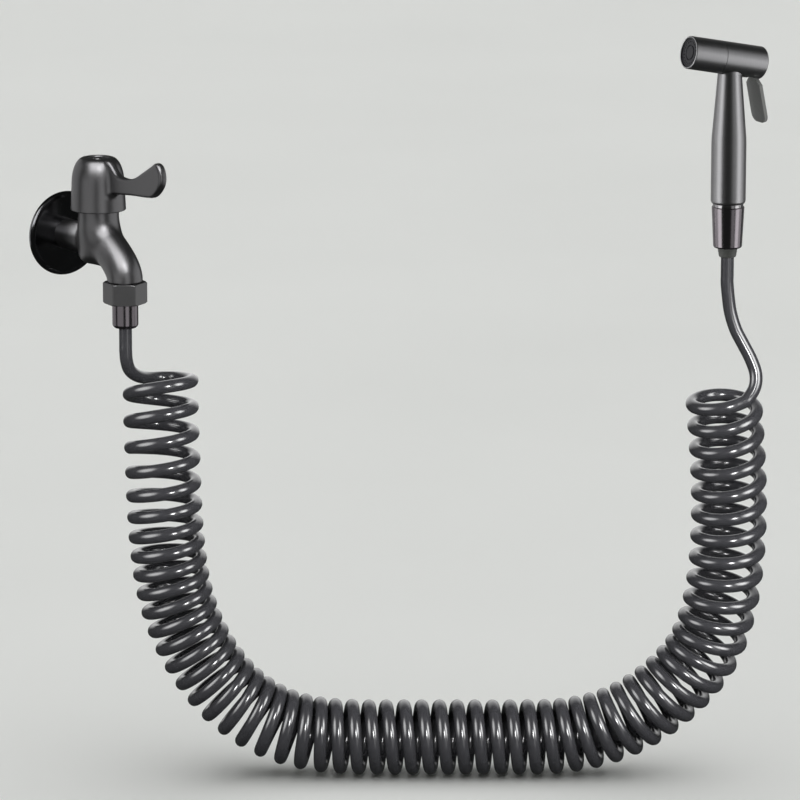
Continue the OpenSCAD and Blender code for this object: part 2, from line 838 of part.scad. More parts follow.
// The turns' spacing along that line: a few wide turns at each end, and even ones between
tap_turns = 5;                      // wide turns at the tap end
sprayer_turns = 11;                 // wide turns at the sprayer end
fade = 1;                           // turns over which the spacing changes
function wide_turns(n, count) =
    n - fade * (ln(1 + exp((n - count) / fade)) - ln(1 + exp(-count / fade)));
function turn_length(n) = n + tap_spread * wide_turns(n, tap_turns)
    + sprayer_spread * (wide_turns(coil_turns, sprayer_turns)
    - wide_turns(coil_turns - n, sprayer_turns));
closest_pitch = axis_len / turn_length(coil_turns);

// Place in the coil after n turns; a turn starts on the outer side of the hanging bow
function coil_at(n) =
    let (s = closest_pitch * turn_length(n), t = axis_heading(s),
        away = unit([0, 1, 0] - ([0, 1, 0] * t) * t), outer = cross(away, t))
    axis_at(s) + coil_r * (cos(360 * n) * outer + sin(360 * n) * away);

// Whole hose: straight from the tap, into the coil, out of it again and straight to the sprayer
rings_per_turn = 8;
first_turn = 0.5;
last_turn = coil_turns - 1 / 6;
turn_rings = round((last_turn - first_turn) * rings_per_turn);
coil_path = [for (i = [0:turn_rings])
    coil_at(first_turn + (last_turn - first_turn) * i / turn_rings)];
tap_bend = open_curve(concat([[0, 0, tap_lead_z - hose_d]], tap_join, [coil_path[0]]), 2);
sprayer_bend = open_curve(concat([coil_path[turn_rings]], sprayer_join,
    [[sprayer_at[0], sprayer_at[1], sprayer_lead_z - hose_d]]), 2);
function but_first(p) = [for (i = [1:len(p) - 1]) p[i]];
hose_path = concat([[0, 0, tap_lead_z]], tap_bend, but_first(coil_path), but_first(sprayer_bend),
    [[sprayer_at[0], sprayer_at[1], sprayer_lead_z]]);

// Least gap between turns, measured from ring to ring at least half a turn apart
hose_gap = min([for (i = [0:len(hose_path) - 1], j = [i + 4:min(i + 14, len(hose_path) - 1)])
    if (j < len(hose_path)) norm(hose_path[i] - hose_path[j])]) - hose_d;
hose_length = sum_steps(hose_path) + (ferrule_base_z - tap_lead_z) + (cone_z - sprayer_lead_z);
function sum_steps(p) = [for (i = 0, s = 0; i < len(p);
    s = s + (i + 1 < len(p) ? norm(p[i + 1] - p[i]) : 0), i = i + 1) s][len(p) - 1];

module hose_lead(top, bottom) {
    n = max(1, ceil((top - bottom) / (3 * hose_d)));
    path = [for (i = [0:n]) [0, 0, top + (bottom - top) * i / n]];
    sweep(path, hose_r, 12, [1, 0, 0]);
}

module hose_tap_lead() {
    color(hose_grey)
    at_hang()
        hose_lead(tap_tail_z, tap_lead_z);
}

module hose_coil() {
    echo(least_gap_between_turns = hose_gap);
    echo(hose_length = hose_length);
    color(hose_grey)
    at_hang()
        sweep(hose_path, hose_r, 6, [1, 0, 0]);
}

module hose_sprayer_lead() {
    color(hose_grey)
    at_hang()
        translate([sprayer_at[0], sprayer_at[1], 0])
            hose_lead(cone_z + 2, sprayer_lead_z);
}

module hose_collar() {
    color(flat_grey)
    at_sprayer()
        difference() {
            rotate_extrude()
                polygon([[0, -collar_drop], [collar_tip_d / 2 - 0.5, -collar_drop],
                    [collar_tip_d / 2, 0.6 - collar_drop], [collar_r, -0.5],
                    [collar_r, collar_top], [0, collar_top]]);
            translate([0, 0, -collar_drop - 1])
                cylinder(r = hose_r + hose_room, h = collar_drop + collar_top + 2);
        }
}

module sprayer_hose_tail() {
    groove = swivel_seat - 4;
    color(brass)
    at_sprayer()
        difference() {
            union() {
                translate([0, 0, 2])
                    cylinder(r = hose_r, h = collar_top - 2 + eps);
                translate([0, 0, collar_top])
                    cylinder(r = collar_r, h = swivel_seat - collar_top + eps);
                translate([0, 0, swivel_seat])
                    cylinder(r = tail_flange_r, h = sprayer_flange_h);
            }
            translate([0, 0, 1])
                cylinder(r = tail_bore_r, h = spigot_base);
            translate([0, 0, groove - 0.9])
                ring(collar_r - 1.5, collar_r + 1, 1.8);
        }
}

module swivel_o_ring() {
    color(rubber)
    at_sprayer()
        translate([0, 0, swivel_seat - 4])
            o_ring(collar_r - 0.72, 1.4);
}

module cone_nut() {
    edge = 0.8;
    top_r = cone_top_d / 2;
    base_r = cone_base_d / 2;
    color(gunmetal)
    at_sprayer()
        difference() {
            rotate_extrude($fn = 64)
                polygon(concat([[0, 0], [base_r - edge, 0]],
                    [for (a = [-75:15:0]) [base_r - edge + edge * cos(a), edge + edge * sin(a)]],
                    [[top_r, cone_h - 0.4], [top_r - 0.4, cone_h], [0, cone_h]]));
            translate([0, 0, -1])
                cylinder(r = collar_r + run_gap, h = cone_h);
            translate([0, 0, swivel_seat - run_gap])
                cylinder(r = outlet_thread_r + thread_gap, h = cone_h);
        }
}

module cone_nut_washer() {
    color(rubber)
    at_sprayer()
        translate([0, 0, washer_base])
            ring(5.2, tail_flange_r, washer_h);
}

// ---- grip ----

module grip_connector() {
    color(steel)
    at_sprayer()
        difference() {
            union() {
                translate([0, 0, spigot_base])
                    cylinder(r = outlet_thread_r, h = ring_base - spigot_base + 0.6);
                translate([0, 0, cone_h + 0.1])
                    cylinder(r = ring_r, h = grip_base - cone_h - 0.1);
                translate([0, 0, grip_base - eps])
                    cylinder(r = grip_r - grip_wall - seat_gap, h = plug_h);
            }
            translate([0, 0, spigot_base - 1])
                cylinder(r = tube_r - tube_wall, h = grip_base + plug_h - spigot_base + 2);
            translate([0, 0, tube_base])
                cylinder(r = tube_r + seat_gap, h = plug_h);
            // groove of the lower O-ring
            translate([0, 0, tube_base + 2])
                cylinder(r = tube_r + 1.7, h = 2);
        }
}

module grip_tube() {
    flare = (grip_r - grip_neck_r) / (taper_len - head_r);
    top_r = grip_neck_r - flare * head_r;
    bore_r0 = grip_r - grip_wall;
    color(gunmetal)
    at_sprayer()
        difference() {
            rotate_extrude($fn = 64)
                polygon([[0, grip_base], [grip_r - 1.7, grip_base],
                    [grip_r - 0.6, grip_base + 0.7], [grip_r, grip_base + 2],
                    [grip_r, taper_base - 4],
                    [grip_r - 0.12, taper_base + 1], [grip_r - 0.55, taper_base + 6],
                    [top_r, head_base], [0, head_base]]);
            // hollow
            rotate_extrude($fn = 64)
                polygon([[0, grip_base - 1], [bore_r0, grip_base - 1], [bore_r0, taper_base - 5],
                    [bore_r0 - 0.8, taper_base + 5], [top_r - grip_wall, head_base + 1],
                    [0, head_base + 1]]);
            // saddle for the head
            translate([0, 0, head_base])
                rotate([0, -head_tilt, 0])
                    rotate([0, 90, 0])
                        translate([0, 0, -head_back])
                            cylinder(r = head_r + 0.02, h = head_back + head_front);
        }
}

module water_tube() {
    top = head_base - (bore_r + 0.4) / cos(head_tilt) - tube_r * tan(head_tilt);
    color(steel)
    at_sprayer()
        translate([0, 0, tube_base])
            ring(tube_r - tube_wall, tube_r, top - tube_base);
}

module water_tube_o_rings() {
    color(rubber) {
        at_sprayer()
            translate([0, 0, tube_base + 3])
                o_ring(tube_r + 0.85, 1.6);
        at_sprayer()
            translate([0, 0, head_base - head_r / cos(head_tilt) - 2.6])
                o_ring(tube_r + 0.8, 1.5);
    }
}

// ---- head ----

// The grip's axis, seen from the head
module grip_way() rotate([0, head_tilt, 0]) children();

module head_body() {
    slot_w = blade_neck_w + 2 * slot_gap;
    slot_front = pin_x + knuckle_r + slot_gap;
    color(gunmetal)
    at_head()
        difference() {
            along_head(-head_back)
                rotate_extrude($fn = 64)
                    union() {
                        square([head_r - head_edge, head_edge + eps]);
                        translate([0, head_edge])
                            square([head_r, head_back + seam_x - head_edge]);
                        translate([head_r - head_edge, head_edge])
                            circle(head_edge);
                        square([spigot_r, head_back + spigot_front]);
                    }
            // valve bore and the room behind it for the trigger's arm
            along_head(bore_back)
                cylinder(r = bore_r, h = spigot_front - bore_back + 1);
            along_head(lever_room_back)
                cylinder(r = lever_room_r, h = spigot_front - lever_room_back);
            // slot for the trigger
            translate([slot_back, -slot_w / 2, -head_r - 1])
                cube([slot_front - slot_back, slot_w, head_r - 1]);
            translate([pin_x, -pin_from + seat_gap, pin_z])
                rotate([90, 0, 0])
                    cylinder(r = pin_r + 0.03, h = 2 * head_r);
            // water way from the grip
            grip_way()
                translate([0, 0, -head_r - 3])
                    cylinder(r = tube_r + seat_gap, h = head_r);
        }
}

module nozzle_sleeve() {
    color(gunmetal)
    at_head()
        difference() {
            along_head(seam_x)
                rotate_extrude($fn = 64)
                    polygon([[0, 0], [head_r - 0.35, 0], [head_r, 0.35],
                        [head_r, head_front - seam_x - 0.5], [head_r - 0.5, head_front - seam_x],
                        [0, head_front - seam_x]]);
            along_head(seam_x - 1)
                cylinder(r = spigot_r + thread_gap, h = sleeve_step - seam_x + 1);
            along_head(seam_x)
                cylinder(r = sleeve_bore_r, h = head_front);
            along_head(plate_seat)
                cylinder(r = plate_r + seat_gap, h = head_front);
        }
}

module sleeve_o_ring() {
    wire = sleeve_step - spigot_front - 0.1;
    color(rubber)
    at_head()
        along_head((sleeve_step + spigot_front) / 2)
            o_ring(spigot_r - wire / 2 - 0.05, wire);
}

module spray_plate() {
    front = plate_seat + plate_gasket_h;
    color(gloss_black)
    at_head()
        difference() {
            along_head(front)
                rotate_extrude($fn = 64)
                    polygon([[0, 0], [plate_r, 0], [plate_r, plate_h], [plate_r - 1, plate_h],
                        [plate_r - 1.2, plate_h - 0.3], [5.6, plate_h - 0.3], [5.3, plate_h - 0.9],
                        [4.9, plate_h - 0.9], [4.6, plate_h - 0.1], [0, plate_h + 0.1]]);
            // hollow back and spray holes
            along_head(front - 1)
                cylinder(r = plate_r - 1.4, h = plate_h - 0.9);
            for (i = [0:spray_holes - 1])
                rotate([360 * i / spray_holes, 0, 0])
                    translate([0, 0, 7.8])
                        along_head(front)
                            cylinder(d = spray_hole_d, h = plate_h + 1, $fn = 16);
        }
}

module plate_gasket() {
    color(rubber)
    at_head()
        along_head(plate_seat)
            ring(plate_r - 1.4, plate_r, plate_gasket_h);
}

module valve_body() {
    color(brass)
    at_head()
        difference() {
            along_head(valve_back)
                cylinder(r = valve_r, h = valve_front - valve_back);
            along_head(valve_back - 1)
                cylinder(r = stem_r + run_gap, h = gland_front - valve_back + 2);
            along_head((valve_back + gland_front) / 2 - 0.8)
                cylinder(r = stem_r + ring_wire - 0.1, h = ring_wire);
            along_head(gland_front)
                cylinder(r = valve_room_r, h = valve_seat_back - gland_front);
            along_head(valve_seat_back - 1)
                cylinder(r = seat_hole_r, h = valve_seat_front - valve_seat_back + 2);
            along_head(valve_seat_front)
                cylinder(r = valve_room_r, h = valve_front - valve_seat_front + 1);
            grip_way()
                translate([0, 0, -bore_r - 1])
                    cylinder(r = tube_r - tube_wall, h = bore_r);
        }
}

module valve_retainer() {
    color(brass)
    at_head()
        along_head(valve_front)
            ring(valve_room_r - 1, bore_r - thread_gap, 3);
}

module valve_stem() {
    color(steel)
    at_head() {
        along_head(stem_collar_x - stem_collar_t)
            cylinder(r = stem_collar_r, h = stem_collar_t);
        along_head(stem_collar_x - eps)
            cylinder(r = stem_neck_r, h = 4);
        along_head(stem_collar_x + 3.5)
            cylinder(r = stem_r, h = shoulder_back - stem_collar_x - 3.5 + eps);
        along_head(shoulder_back)
            cylinder(r = 4.2, h = shoulder_t);
        along_head(shoulder_back + shoulder_t - eps)
            cylinder(r = 1.4, h = seal_t + 0.4);
        along_head(shoulder_back + shoulder_t + seal_t + 0.02)
            cylinder(r = 2.4, h = 0.8);
    }
}

module stem_o_ring() {
    color(rubber)
    at_head()
        along_head((valve_back + gland_front) / 2)
            o_ring(stem_r + 0.12 + (ring_wire - 0.4) / 2, ring_wire - 0.4);
}

module valve_seal() {
    color(rubber)
    at_head()
        along_head(shoulder_back + shoulder_t)
            ring(1.42, 4.6, seal_t);
}

// Compression spring between the gland and the stem's shoulder
module valve_spring() {
    wire_r = 0.4;
    turns = 6;
    from = gland_front + wire_r + 0.02;
    to = shoulder_back - wire_r - 0.02;
    n = turns * 8;
    path = [for (i = [0:n])
        [from + (to - from) * i / n, 3.4 * cos(45 * i), 3.4 * sin(45 * i)]];
    color(steel)
    at_head()
        sweep(path, wire_r, 6, [1, 0, 0]);
}

// Trigger outline, y across and x down from the pin: neck, shoulders and a rounded tip
function rounded_tip(side) = [for (a = [0:15:90])
    let (c = [blade_len - blade_tip_r, blade_w / 2 - blade_tip_r])
    [c[0] + blade_tip_r * sin(a), side * (c[1] + blade_tip_r * cos(a))]];
function reversed(p) = [for (i = [len(p) - 1:-1:0]) p[i]];

module trigger() {
    wide = neck_len + shoulder_len;
    color(flat_grey)
    at_head()
        translate([pin_x, 0, pin_z])
            difference() {
                union() {
                    // blade, leaning back from the pin
                    rotate([0, blade_lean, 0])
                        rotate([0, 90, 0])
                            translate([0, 0, -blade_set - blade_t / 2])
                                linear_extrude(blade_t)
                                    polygon(concat([[0, -blade_neck_w / 2],
                                        [0, blade_neck_w / 2], [neck_len, blade_neck_w / 2],
                                        [wide, blade_w / 2]],
                                        rounded_tip(1), reversed(rounded_tip(-1)),
                                        [[wide, -blade_w / 2], [neck_len, -blade_neck_w / 2]]));
                    rotate([90, 0, 0])
                        cylinder(r = knuckle_r, h = blade_neck_w, center = true);
                    // arm that reaches up behind the stem
                    translate([-blade_t / 2, -arm_w / 2, 0])
                        cube([blade_t, arm_w, arm_top]);
                }
                rotate([90, 0, 0])
                    cylinder(r = pin_r + run_gap, h = blade_neck_w + 2, center = true);
                // fork round the stem's neck
                translate([-blade_t, -stem_neck_r - 0.25, -pin_z - stem_neck_r - 1.2])
                    cube([2 * blade_t, 2 * stem_neck_r + 0.5, arm_top]);
            }
}

module trigger_pin() {
    color(steel)
    at_head()
        translate([pin_x, -pin_from, pin_z])
            rotate([90, 0, 0])
                cylinder(r = pin_r, h = pin_to - pin_from);
}

tap_body();
wall_flange();
cartridge_body();
cartridge_gasket();
cartridge_o_ring();
fixed_disc();
moving_disc();
spindle();
spindle_o_ring();
spindle_clip();
tap_handle();
handle_screw();
index_cap();
hose_nut();
hose_nut_washer();
tap_hose_tail();
tap_ferrule();
hose_tap_lead();
hose_coil();
hose_sprayer_lead();
hose_collar();
sprayer_hose_tail();
swivel_o_ring();
cone_nut();
cone_nut_washer();
grip_connector();
grip_tube();
water_tube();
water_tube_o_rings();
head_body();
nozzle_sleeve();
sleeve_o_ring();
spray_plate();
plate_gasket();
valve_body();
valve_retainer();
valve_stem();
stem_o_ring();
valve_seal();
valve_spring();
trigger();
trigger_pin();
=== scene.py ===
# %% [markdown]
# # A wall tap, a coiled hose and a T-head trigger sprayer
# The metal parts have one gun-metal finish in several grades: satin on the cast tap, brushed on
# the sprayer, polished on the cone nut and the ferrule, gloss on the wall flange. The hose is
# gloss black plastic, and the trigger is matt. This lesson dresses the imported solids. Most
# visible parts are worked out as surfaces with numpy, a few only get rounded edges, and nearly
# all the parts inside keep their own mesh and get a finish. Lengths are in millimetres until a
# mesh is made, because the parts were drawn in millimetres, and Blender's mesh is in metres.

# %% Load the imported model
import math
import bmesh
import bpy
import numpy as np
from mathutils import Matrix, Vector


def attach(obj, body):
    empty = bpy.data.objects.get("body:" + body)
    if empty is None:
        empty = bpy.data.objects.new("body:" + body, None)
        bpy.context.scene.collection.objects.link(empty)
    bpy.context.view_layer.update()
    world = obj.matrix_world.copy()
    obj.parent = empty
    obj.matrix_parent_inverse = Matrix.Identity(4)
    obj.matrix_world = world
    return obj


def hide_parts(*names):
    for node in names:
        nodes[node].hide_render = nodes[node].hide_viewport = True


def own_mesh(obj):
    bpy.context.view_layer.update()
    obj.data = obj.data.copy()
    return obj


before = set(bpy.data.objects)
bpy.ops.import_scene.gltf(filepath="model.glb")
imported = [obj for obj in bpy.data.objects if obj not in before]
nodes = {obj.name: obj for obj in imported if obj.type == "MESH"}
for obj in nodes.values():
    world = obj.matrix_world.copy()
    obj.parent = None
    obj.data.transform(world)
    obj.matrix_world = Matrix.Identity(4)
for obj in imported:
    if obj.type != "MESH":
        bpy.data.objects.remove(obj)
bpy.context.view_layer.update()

# %% [markdown]
# ## Places
# The tap reaches out along -Y from the wall. The hose hangs in a vertical plane that is turned
# about the outlet, and the sprayer stands on its cone nut at the far end of that plane, with its
# head tilted up. Each place is a 4 x 4 matrix, so a part is drawn upright about its own axis and
# then put where it belongs.

# %% Places of the parts
def shift(x, y, z):
    """A move by (x, y, z)."""
    m = np.eye(4)
    m[:3, 3] = (x, y, z)
    return m


def turn(axis, degrees):
    """A right-handed turn about the x, y or z axis."""
    c, s = math.cos(math.radians(degrees)), math.sin(math.radians(degrees))
    i, j = {"x": (1, 2), "y": (2, 0), "z": (0, 1)}[axis]
    m = np.eye(4)
    m[i, i] = m[j, j] = c
    m[j, i], m[i, j] = s, -s
    return m


# The barrel's and the outlet's axes; how far the hose's plane and the sprayer are turned; the foot
# of the cone nut in that plane; the height and tilt of the head on the grip
BARREL_Y, OUTLET_Y = -45.5, -79.5
HANG_TURN, SPRAYER_TURN = -36.5, 206.7
NUT_X, NUT_Y, NUT_Z = 436.4, -29, 7.5
HEAD_HEIGHT, HEAD_TILT = 137.5, 11.4
BARREL = shift(0, BARREL_Y, 0)
OUTLET = shift(0, OUTLET_Y, 0)
HANG = OUTLET @ turn("z", HANG_TURN)
SPRAYER = HANG @ shift(NUT_X, NUT_Y, NUT_Z) @ turn("z", SPRAYER_TURN)
HEAD_AXIS = SPRAYER @ shift(0, 0, HEAD_HEIGHT) @ turn("y", -HEAD_TILT) @ turn("y", 90)
print("sprayer's axis stands at", np.round(SPRAYER[:3, 3], 1))

# %% [markdown]
# ## Camera, floor and light
# The camera stands well back with a long lens, 36.5 degrees round from the tap's front and about
# 12.7 degrees above it. The pale floor is a flat disc whose rim bends up into a wall, so that no
# horizon shows from any side. Polished metal only shows what it reflects, so the floor is kept
# out of reflections and softboxes take its place. Light linking keeps each box to one set of
# parts: the tap, its cast body alone, the flange, the hose or the sprayer. The sprayer has tall
# boxes left and right, which draw the pale bands along the grip with a dark one between them. The
# tap has a key above its front and dimmer boxes round it. The hose is glossy enough to show a
# box's outline, so its boxes fade out towards their edges.

# %% Camera
def aim(thing, at):
    """Turns a camera or light so that it looks from where it is towards a point."""
    way = Vector(at) - thing.location
    thing.rotation_mode = "QUATERNION"
    thing.rotation_quaternion = way.to_track_quat("-Z", "Y")


def put(name, data):
    """A new object of that name in the scene."""
    thing = bpy.data.objects.new(name, data)
    bpy.context.scene.collection.objects.link(thing)
    return thing


CAMERA_AT = (-2.1962, -3.3839, 0.7808)
CAMERA_AIM = (0.16088, -0.19855, -0.11218)
camera_data = bpy.data.cameras.new("camera")
camera_data.lens = 250
camera_data.sensor_width = 36
camera_data.clip_end = 60
camera = put("camera", camera_data)
camera.location = CAMERA_AT
aim(camera, CAMERA_AIM)
bpy.context.scene.camera = camera
print("camera:", round((Vector(CAMERA_AIM) - camera.location).length, 2), "m from its aim")

# %% Floor
FLOOR_Z = -0.3968


def smooth(mesh):
    """Shades every face of a mesh smooth."""
    mesh.polygons.foreach_set("use_smooth", np.ones(len(mesh.polygons), bool))


def floor_finish():
    """Pale matt floor whose brightness varies a little over about half a metre."""
    m = bpy.data.materials.new("floor_finish")
    m.use_nodes = True
    tree = m.node_tree
    shader = tree.nodes["Principled BSDF"]
    place = tree.nodes.new("ShaderNodeTexCoord")
    cloud = tree.nodes.new("ShaderNodeTexNoise")
    cloud.inputs["Scale"].default_value = 2.0
    ramp = tree.nodes.new("ShaderNodeValToRGB")
    ramp.color_ramp.elements[0].color = (0.80, 0.81, 0.79, 1)
    ramp.color_ramp.elements[1].color = (0.86, 0.87, 0.85, 1)
    tree.links.new(place.outputs["Object"], cloud.inputs["Vector"])
    tree.links.new(cloud.outputs["Fac"], ramp.inputs["Fac"])
    tree.links.new(ramp.outputs["Color"], shader.inputs["Base Color"])
    shader.inputs["Roughness"].default_value = 0.75
    return m


def studio_bowl(sides=96, flat=9, bend=5, top=7):
    """Points and faces of the floor: a flat disc whose rim bends up through a quarter circle into
    a round wall. One flat face fills its middle. The sizes are in metres."""
    lean = np.linspace(0, math.pi / 2, 13)
    reach = np.concatenate([[flat - 0.5], flat + bend * np.sin(lean), [flat + bend]])
    rise = FLOOR_Z + np.concatenate([[0], bend - bend * np.cos(lean), [top]])
    a = np.linspace(0, 2 * math.pi, sides, endpoint=False)
    points = np.stack([reach[:, None] * np.cos(a), reach[:, None] * np.sin(a),
                       rise[:, None] + 0 * a], -1)
    index = np.arange(points.shape[0] * sides).reshape(-1, sides)
    low, high = index[:-1], index[1:]
    quads = np.stack([high, np.roll(high, -1, 1), np.roll(low, -1, 1), low], -1).reshape(-1, 4)
    return points.reshape(-1, 3).tolist(), [index[0].tolist()] + quads.tolist()


floor_mesh = bpy.data.meshes.new("floor")
bowl_points, bowl_faces = studio_bowl()
floor_mesh.from_pydata(bowl_points, [], bowl_faces)
smooth(floor_mesh)
floor_mesh.materials.append(floor_finish())
floor = put("floor", floor_mesh)
print("floor:", len(floor_mesh.polygons), "faces")

# %% A softbox
VIEW = (Vector((*CAMERA_AIM[:2], 0)) - Vector((*CAMERA_AT[:2], 0))).normalized()
RIGHT = Vector((VIEW.y, -VIEW.x, 0))
TAP_AT, HOSE_AT, SPRAYER_AT = (0, -0.05, 0.01), (0.18, -0.21, -0.25), (0.3336, -0.3624, 0.08)
LIT = {name: bpy.data.collections.new(name + "_lit")
       for name in ("tap", "neck", "flange", "hose", "sprayer")}


def fade_to_edge(data):
    """Makes a softbox brightest in its middle. Its glow is full within a tenth of its size from
    the middle and falls smoothly to nothing at the ellipse that just fits in it."""
    data.use_nodes = True
    tree = data.node_tree
    spot = tree.nodes.new("ShaderNodeNewGeometry")
    reach = tree.nodes.new("ShaderNodeVectorMath")
    reach.operation = "DISTANCE"
    reach.inputs[1].default_value = (0.5, 0.5, 0)
    fall = tree.nodes.new("ShaderNodeMapRange")
    fall.interpolation_type = "SMOOTHSTEP"
    for socket, value in [("From Min", 0.5), ("From Max", 0.1), ("To Min", 0), ("To Max", 1)]:
        fall.inputs[socket].default_value = value
    tree.links.new(spot.outputs["Parametric"], reach.inputs[0])
    tree.links.new(reach.outputs["Value"], fall.inputs["Value"])
    tree.links.new(fall.outputs["Result"], tree.nodes["Emission"].inputs["Strength"])


def softbox(name, parts, at, round_to, up, away, wide, high, glow):
    """A rectangular softbox that faces a point from so many degrees round to the camera's right
    and so many up. It lights one set of parts. Its power is its glow times pi times its area.
    The glossy hose would show a box's hard edge, so its boxes fade."""
    data = bpy.data.lights.new(name, "AREA")
    data.shape = "RECTANGLE"
    data.size, data.size_y = wide, high
    data.energy = glow * math.pi * wide * high
    if parts == "hose":
        fade_to_edge(data)
    light = put(name, data)
    a, e = math.radians(round_to), math.radians(up)
    way = (RIGHT * math.sin(a) - VIEW * math.cos(a)) * math.cos(e) + Vector((0, 0, math.sin(e)))
    light.location = Vector(at) + way * away
    aim(light, at)
    light.visible_camera = False
    light.light_linking.receiver_collection = LIT[parts]


# %% World and ceiling
world = bpy.data.worlds.new("studio")
world.use_nodes = True
world.node_tree.nodes["Background"].inputs["Color"].default_value = (0.96, 1.0, 0.97, 1)
world.node_tree.nodes["Background"].inputs["Strength"].default_value = 0.035
bpy.context.scene.world = world
bpy.context.scene.view_settings.view_transform = "Standard"
ceiling = put("ceiling", bpy.data.lights.new("ceiling", "SUN"))
ceiling.data.energy = 2.4
ceiling.data.angle = math.radians(100)
ceiling.rotation_euler = (math.radians(12), math.radians(8), 0)
ceiling.visible_glossy = False
floor.visible_glossy = False
print("ceiling: a soft sun", round(math.degrees(ceiling.data.angle)), "degrees wide")

# %% The softboxes
# name, set of parts, where it looks, degrees round, degrees up, metres away, wide, high, glow
SOFTBOXES = [
    ("sprayer_left", "sprayer", SPRAYER_AT, -66, -5, 0.9, 0.45, 0.75, 1.1),
    ("sprayer_right", "sprayer", SPRAYER_AT, 70, -5, 0.9, 0.45, 0.75, 1.2),
    ("sprayer_wide_left", "sprayer", SPRAYER_AT, -84, 2, 0.95, 1.25, 1.5, 0.95),
    ("sprayer_wide_right", "sprayer", SPRAYER_AT, 82, 2, 0.95, 1.15, 1.5, 0.75),
    ("sprayer_soft_right", "sprayer", SPRAYER_AT, 34, -5, 0.9, 0.36, 0.75, 0.45),
    ("sprayer_rim_left", "sprayer", SPRAYER_AT, -145, 0, 0.9, 0.7, 1.2, 0.4),
    ("sprayer_rim_right", "sprayer", SPRAYER_AT, 150, 0, 0.9, 0.7, 1.2, 0.2),
    ("tap_key", "tap", TAP_AT, -8, 56, 1.2, 1.3, 1.2, 3.4),
    ("tap_spot", "tap", TAP_AT, 18, 42, 1.2, 0.35, 0.35, 6),
    ("tap_front_left", "tap", TAP_AT, -42, -8, 1.2, 1.3, 0.9, 0.50),
    ("tap_front_right", "tap", TAP_AT, 21, -8, 1.2, 0.6, 0.9, 0.75),
    ("tap_left", "tap", TAP_AT, -124, 2, 1.0, 1.4, 1.3, 0.45),
    ("tap_right", "tap", TAP_AT, 98, -3, 1.0, 1.3, 1.2, 0.65),
    ("neck_back", "neck", TAP_AT, -130, 40, 1.0, 1.1, 0.8, 5),
    ("flange_rim", "flange", TAP_AT, -18, 32, 1.2, 1.0, 0.9, 5),
    ("flange_left", "flange", TAP_AT, -92, 5, 1.0, 1.0, 1.2, 1.5),
    ("hose_key", "hose", HOSE_AT, 18, 22, 1.4, 0.42, 0.7, 80),
    ("hose_left", "hose", HOSE_AT, -62, 26, 1.3, 1.6, 1.6, 10),
    ("hose_right", "hose", HOSE_AT, 58, 26, 1.3, 1.0, 1.4, 19),
    ("hose_low", "hose", HOSE_AT, 30, -4, 1.3, 0.9, 1.2, 1.5),
    ("hose_back", "hose", HOSE_AT, 180, 20, 1.6, 3.4, 2.4, 1.4),
]
for box in SOFTBOXES:
    softbox(*box)
print("softboxes:", len(SOFTBOXES))

# %% [markdown]
# ## From arrays to a mesh
# Every new part is a grid of points: rows run along a profile or a path, columns run round it.
# The grid is worked out as one array, turned into the part's place, and welded where rows or
# columns meet, so that seams and poles close.

# %% Grid to mesh
def grid_piece(name, grid, place, look, close_rows=False, weld=0.002):
    """Makes a mesh from a grid of points (rows, columns, 3) in millimetres. Columns always close
    into a ring; rows close too where close_rows is set. Points nearer than weld are merged."""
    rows, cols = grid.shape[:2]
    points = grid.reshape(-1, 3) @ place[:3, :3].T + place[:3, 3]
    index = np.arange(rows * cols).reshape(rows, cols)
    here = index if close_rows else index[:-1]
    above = np.roll(index, -1, 0) if close_rows else index[1:]
    faces = np.stack([here, np.roll(here, -1, 1), np.roll(above, -1, 1), above], -1).reshape(-1, 4)
    mesh = bpy.data.meshes.new(name)
    mesh.from_pydata((points / 1000).tolist(), [], faces.tolist())
    work = bmesh.new()
    work.from_mesh(mesh)
    bmesh.ops.remove_doubles(work, verts=work.verts, dist=weld / 1000)
    bmesh.ops.dissolve_degenerate(work, edges=work.edges, dist=weld / 4000)
    bmesh.ops.recalc_face_normals(work, faces=work.faces)
    work.to_mesh(mesh)
    work.free()
    smooth(mesh)
    piece = put(name, mesh)
    mesh.materials.append(look)
    print(f"{name}: {len(mesh.vertices)} points, {len(mesh.polygons)} faces")
    return piece


# %% Profiles
def softened(points, radii, steps=4):
    """A line of corners with each corner rounded: the corner is replaced by a curve that starts
    its radius before the corner and ends its radius after it. One radius serves all corners, or
    each point has its own."""
    points = np.asarray(points, float)
    n = len(points)
    radii = np.broadcast_to(radii, n)
    out = [points[0]]
    for i in range(1, n - 1):
        before, after = points[i - 1] - points[i], points[i + 1] - points[i]
        r = min(radii[i], 0.49 * np.linalg.norm(before), 0.49 * np.linalg.norm(after))
        if r <= 0:
            out.append(points[i])
            continue
        a = points[i] + before / np.linalg.norm(before) * r
        b = points[i] + after / np.linalg.norm(after) * r
        t = np.linspace(0, 1, steps + 1)[:, None]
        out.extend((1 - t) ** 2 * a + 2 * t * (1 - t) * points[i] + t ** 2 * b)
    out.append(points[-1])
    return np.array(out)


def revolved(profile, around=128):
    """Grid of a turned part: each profile point (radius, height) goes round in a circle."""
    a = np.linspace(0, 2 * np.pi, around, endpoint=False)
    r, h = profile[:, 0][:, None], profile[:, 1][:, None]
    return np.stack([r * np.cos(a), r * np.sin(a), np.broadcast_to(h, (len(profile), around))], -1)


def even_shading(piece):
    """Lets large faces keep their own shading beside small rounded edges."""
    shade = piece.modifiers.new("even_shading", "WEIGHTED_NORMAL")
    shade.weight = 80
    return piece


print("a square corner is softened into", len(softened([[0, 0], [5, 0], [5, 5]], 1)) - 2, "points")

# %% [markdown]
# ## Finishes
# Gun-metal plating is a dark, slightly violet metal. What differs from part to part is how it was
# worked: cast and blasted, brushed in rings, or polished. Each finish is one Principled shader
# whose colour, roughness and bump vary by noise on Object coordinates, so the pattern stays in
# the part.

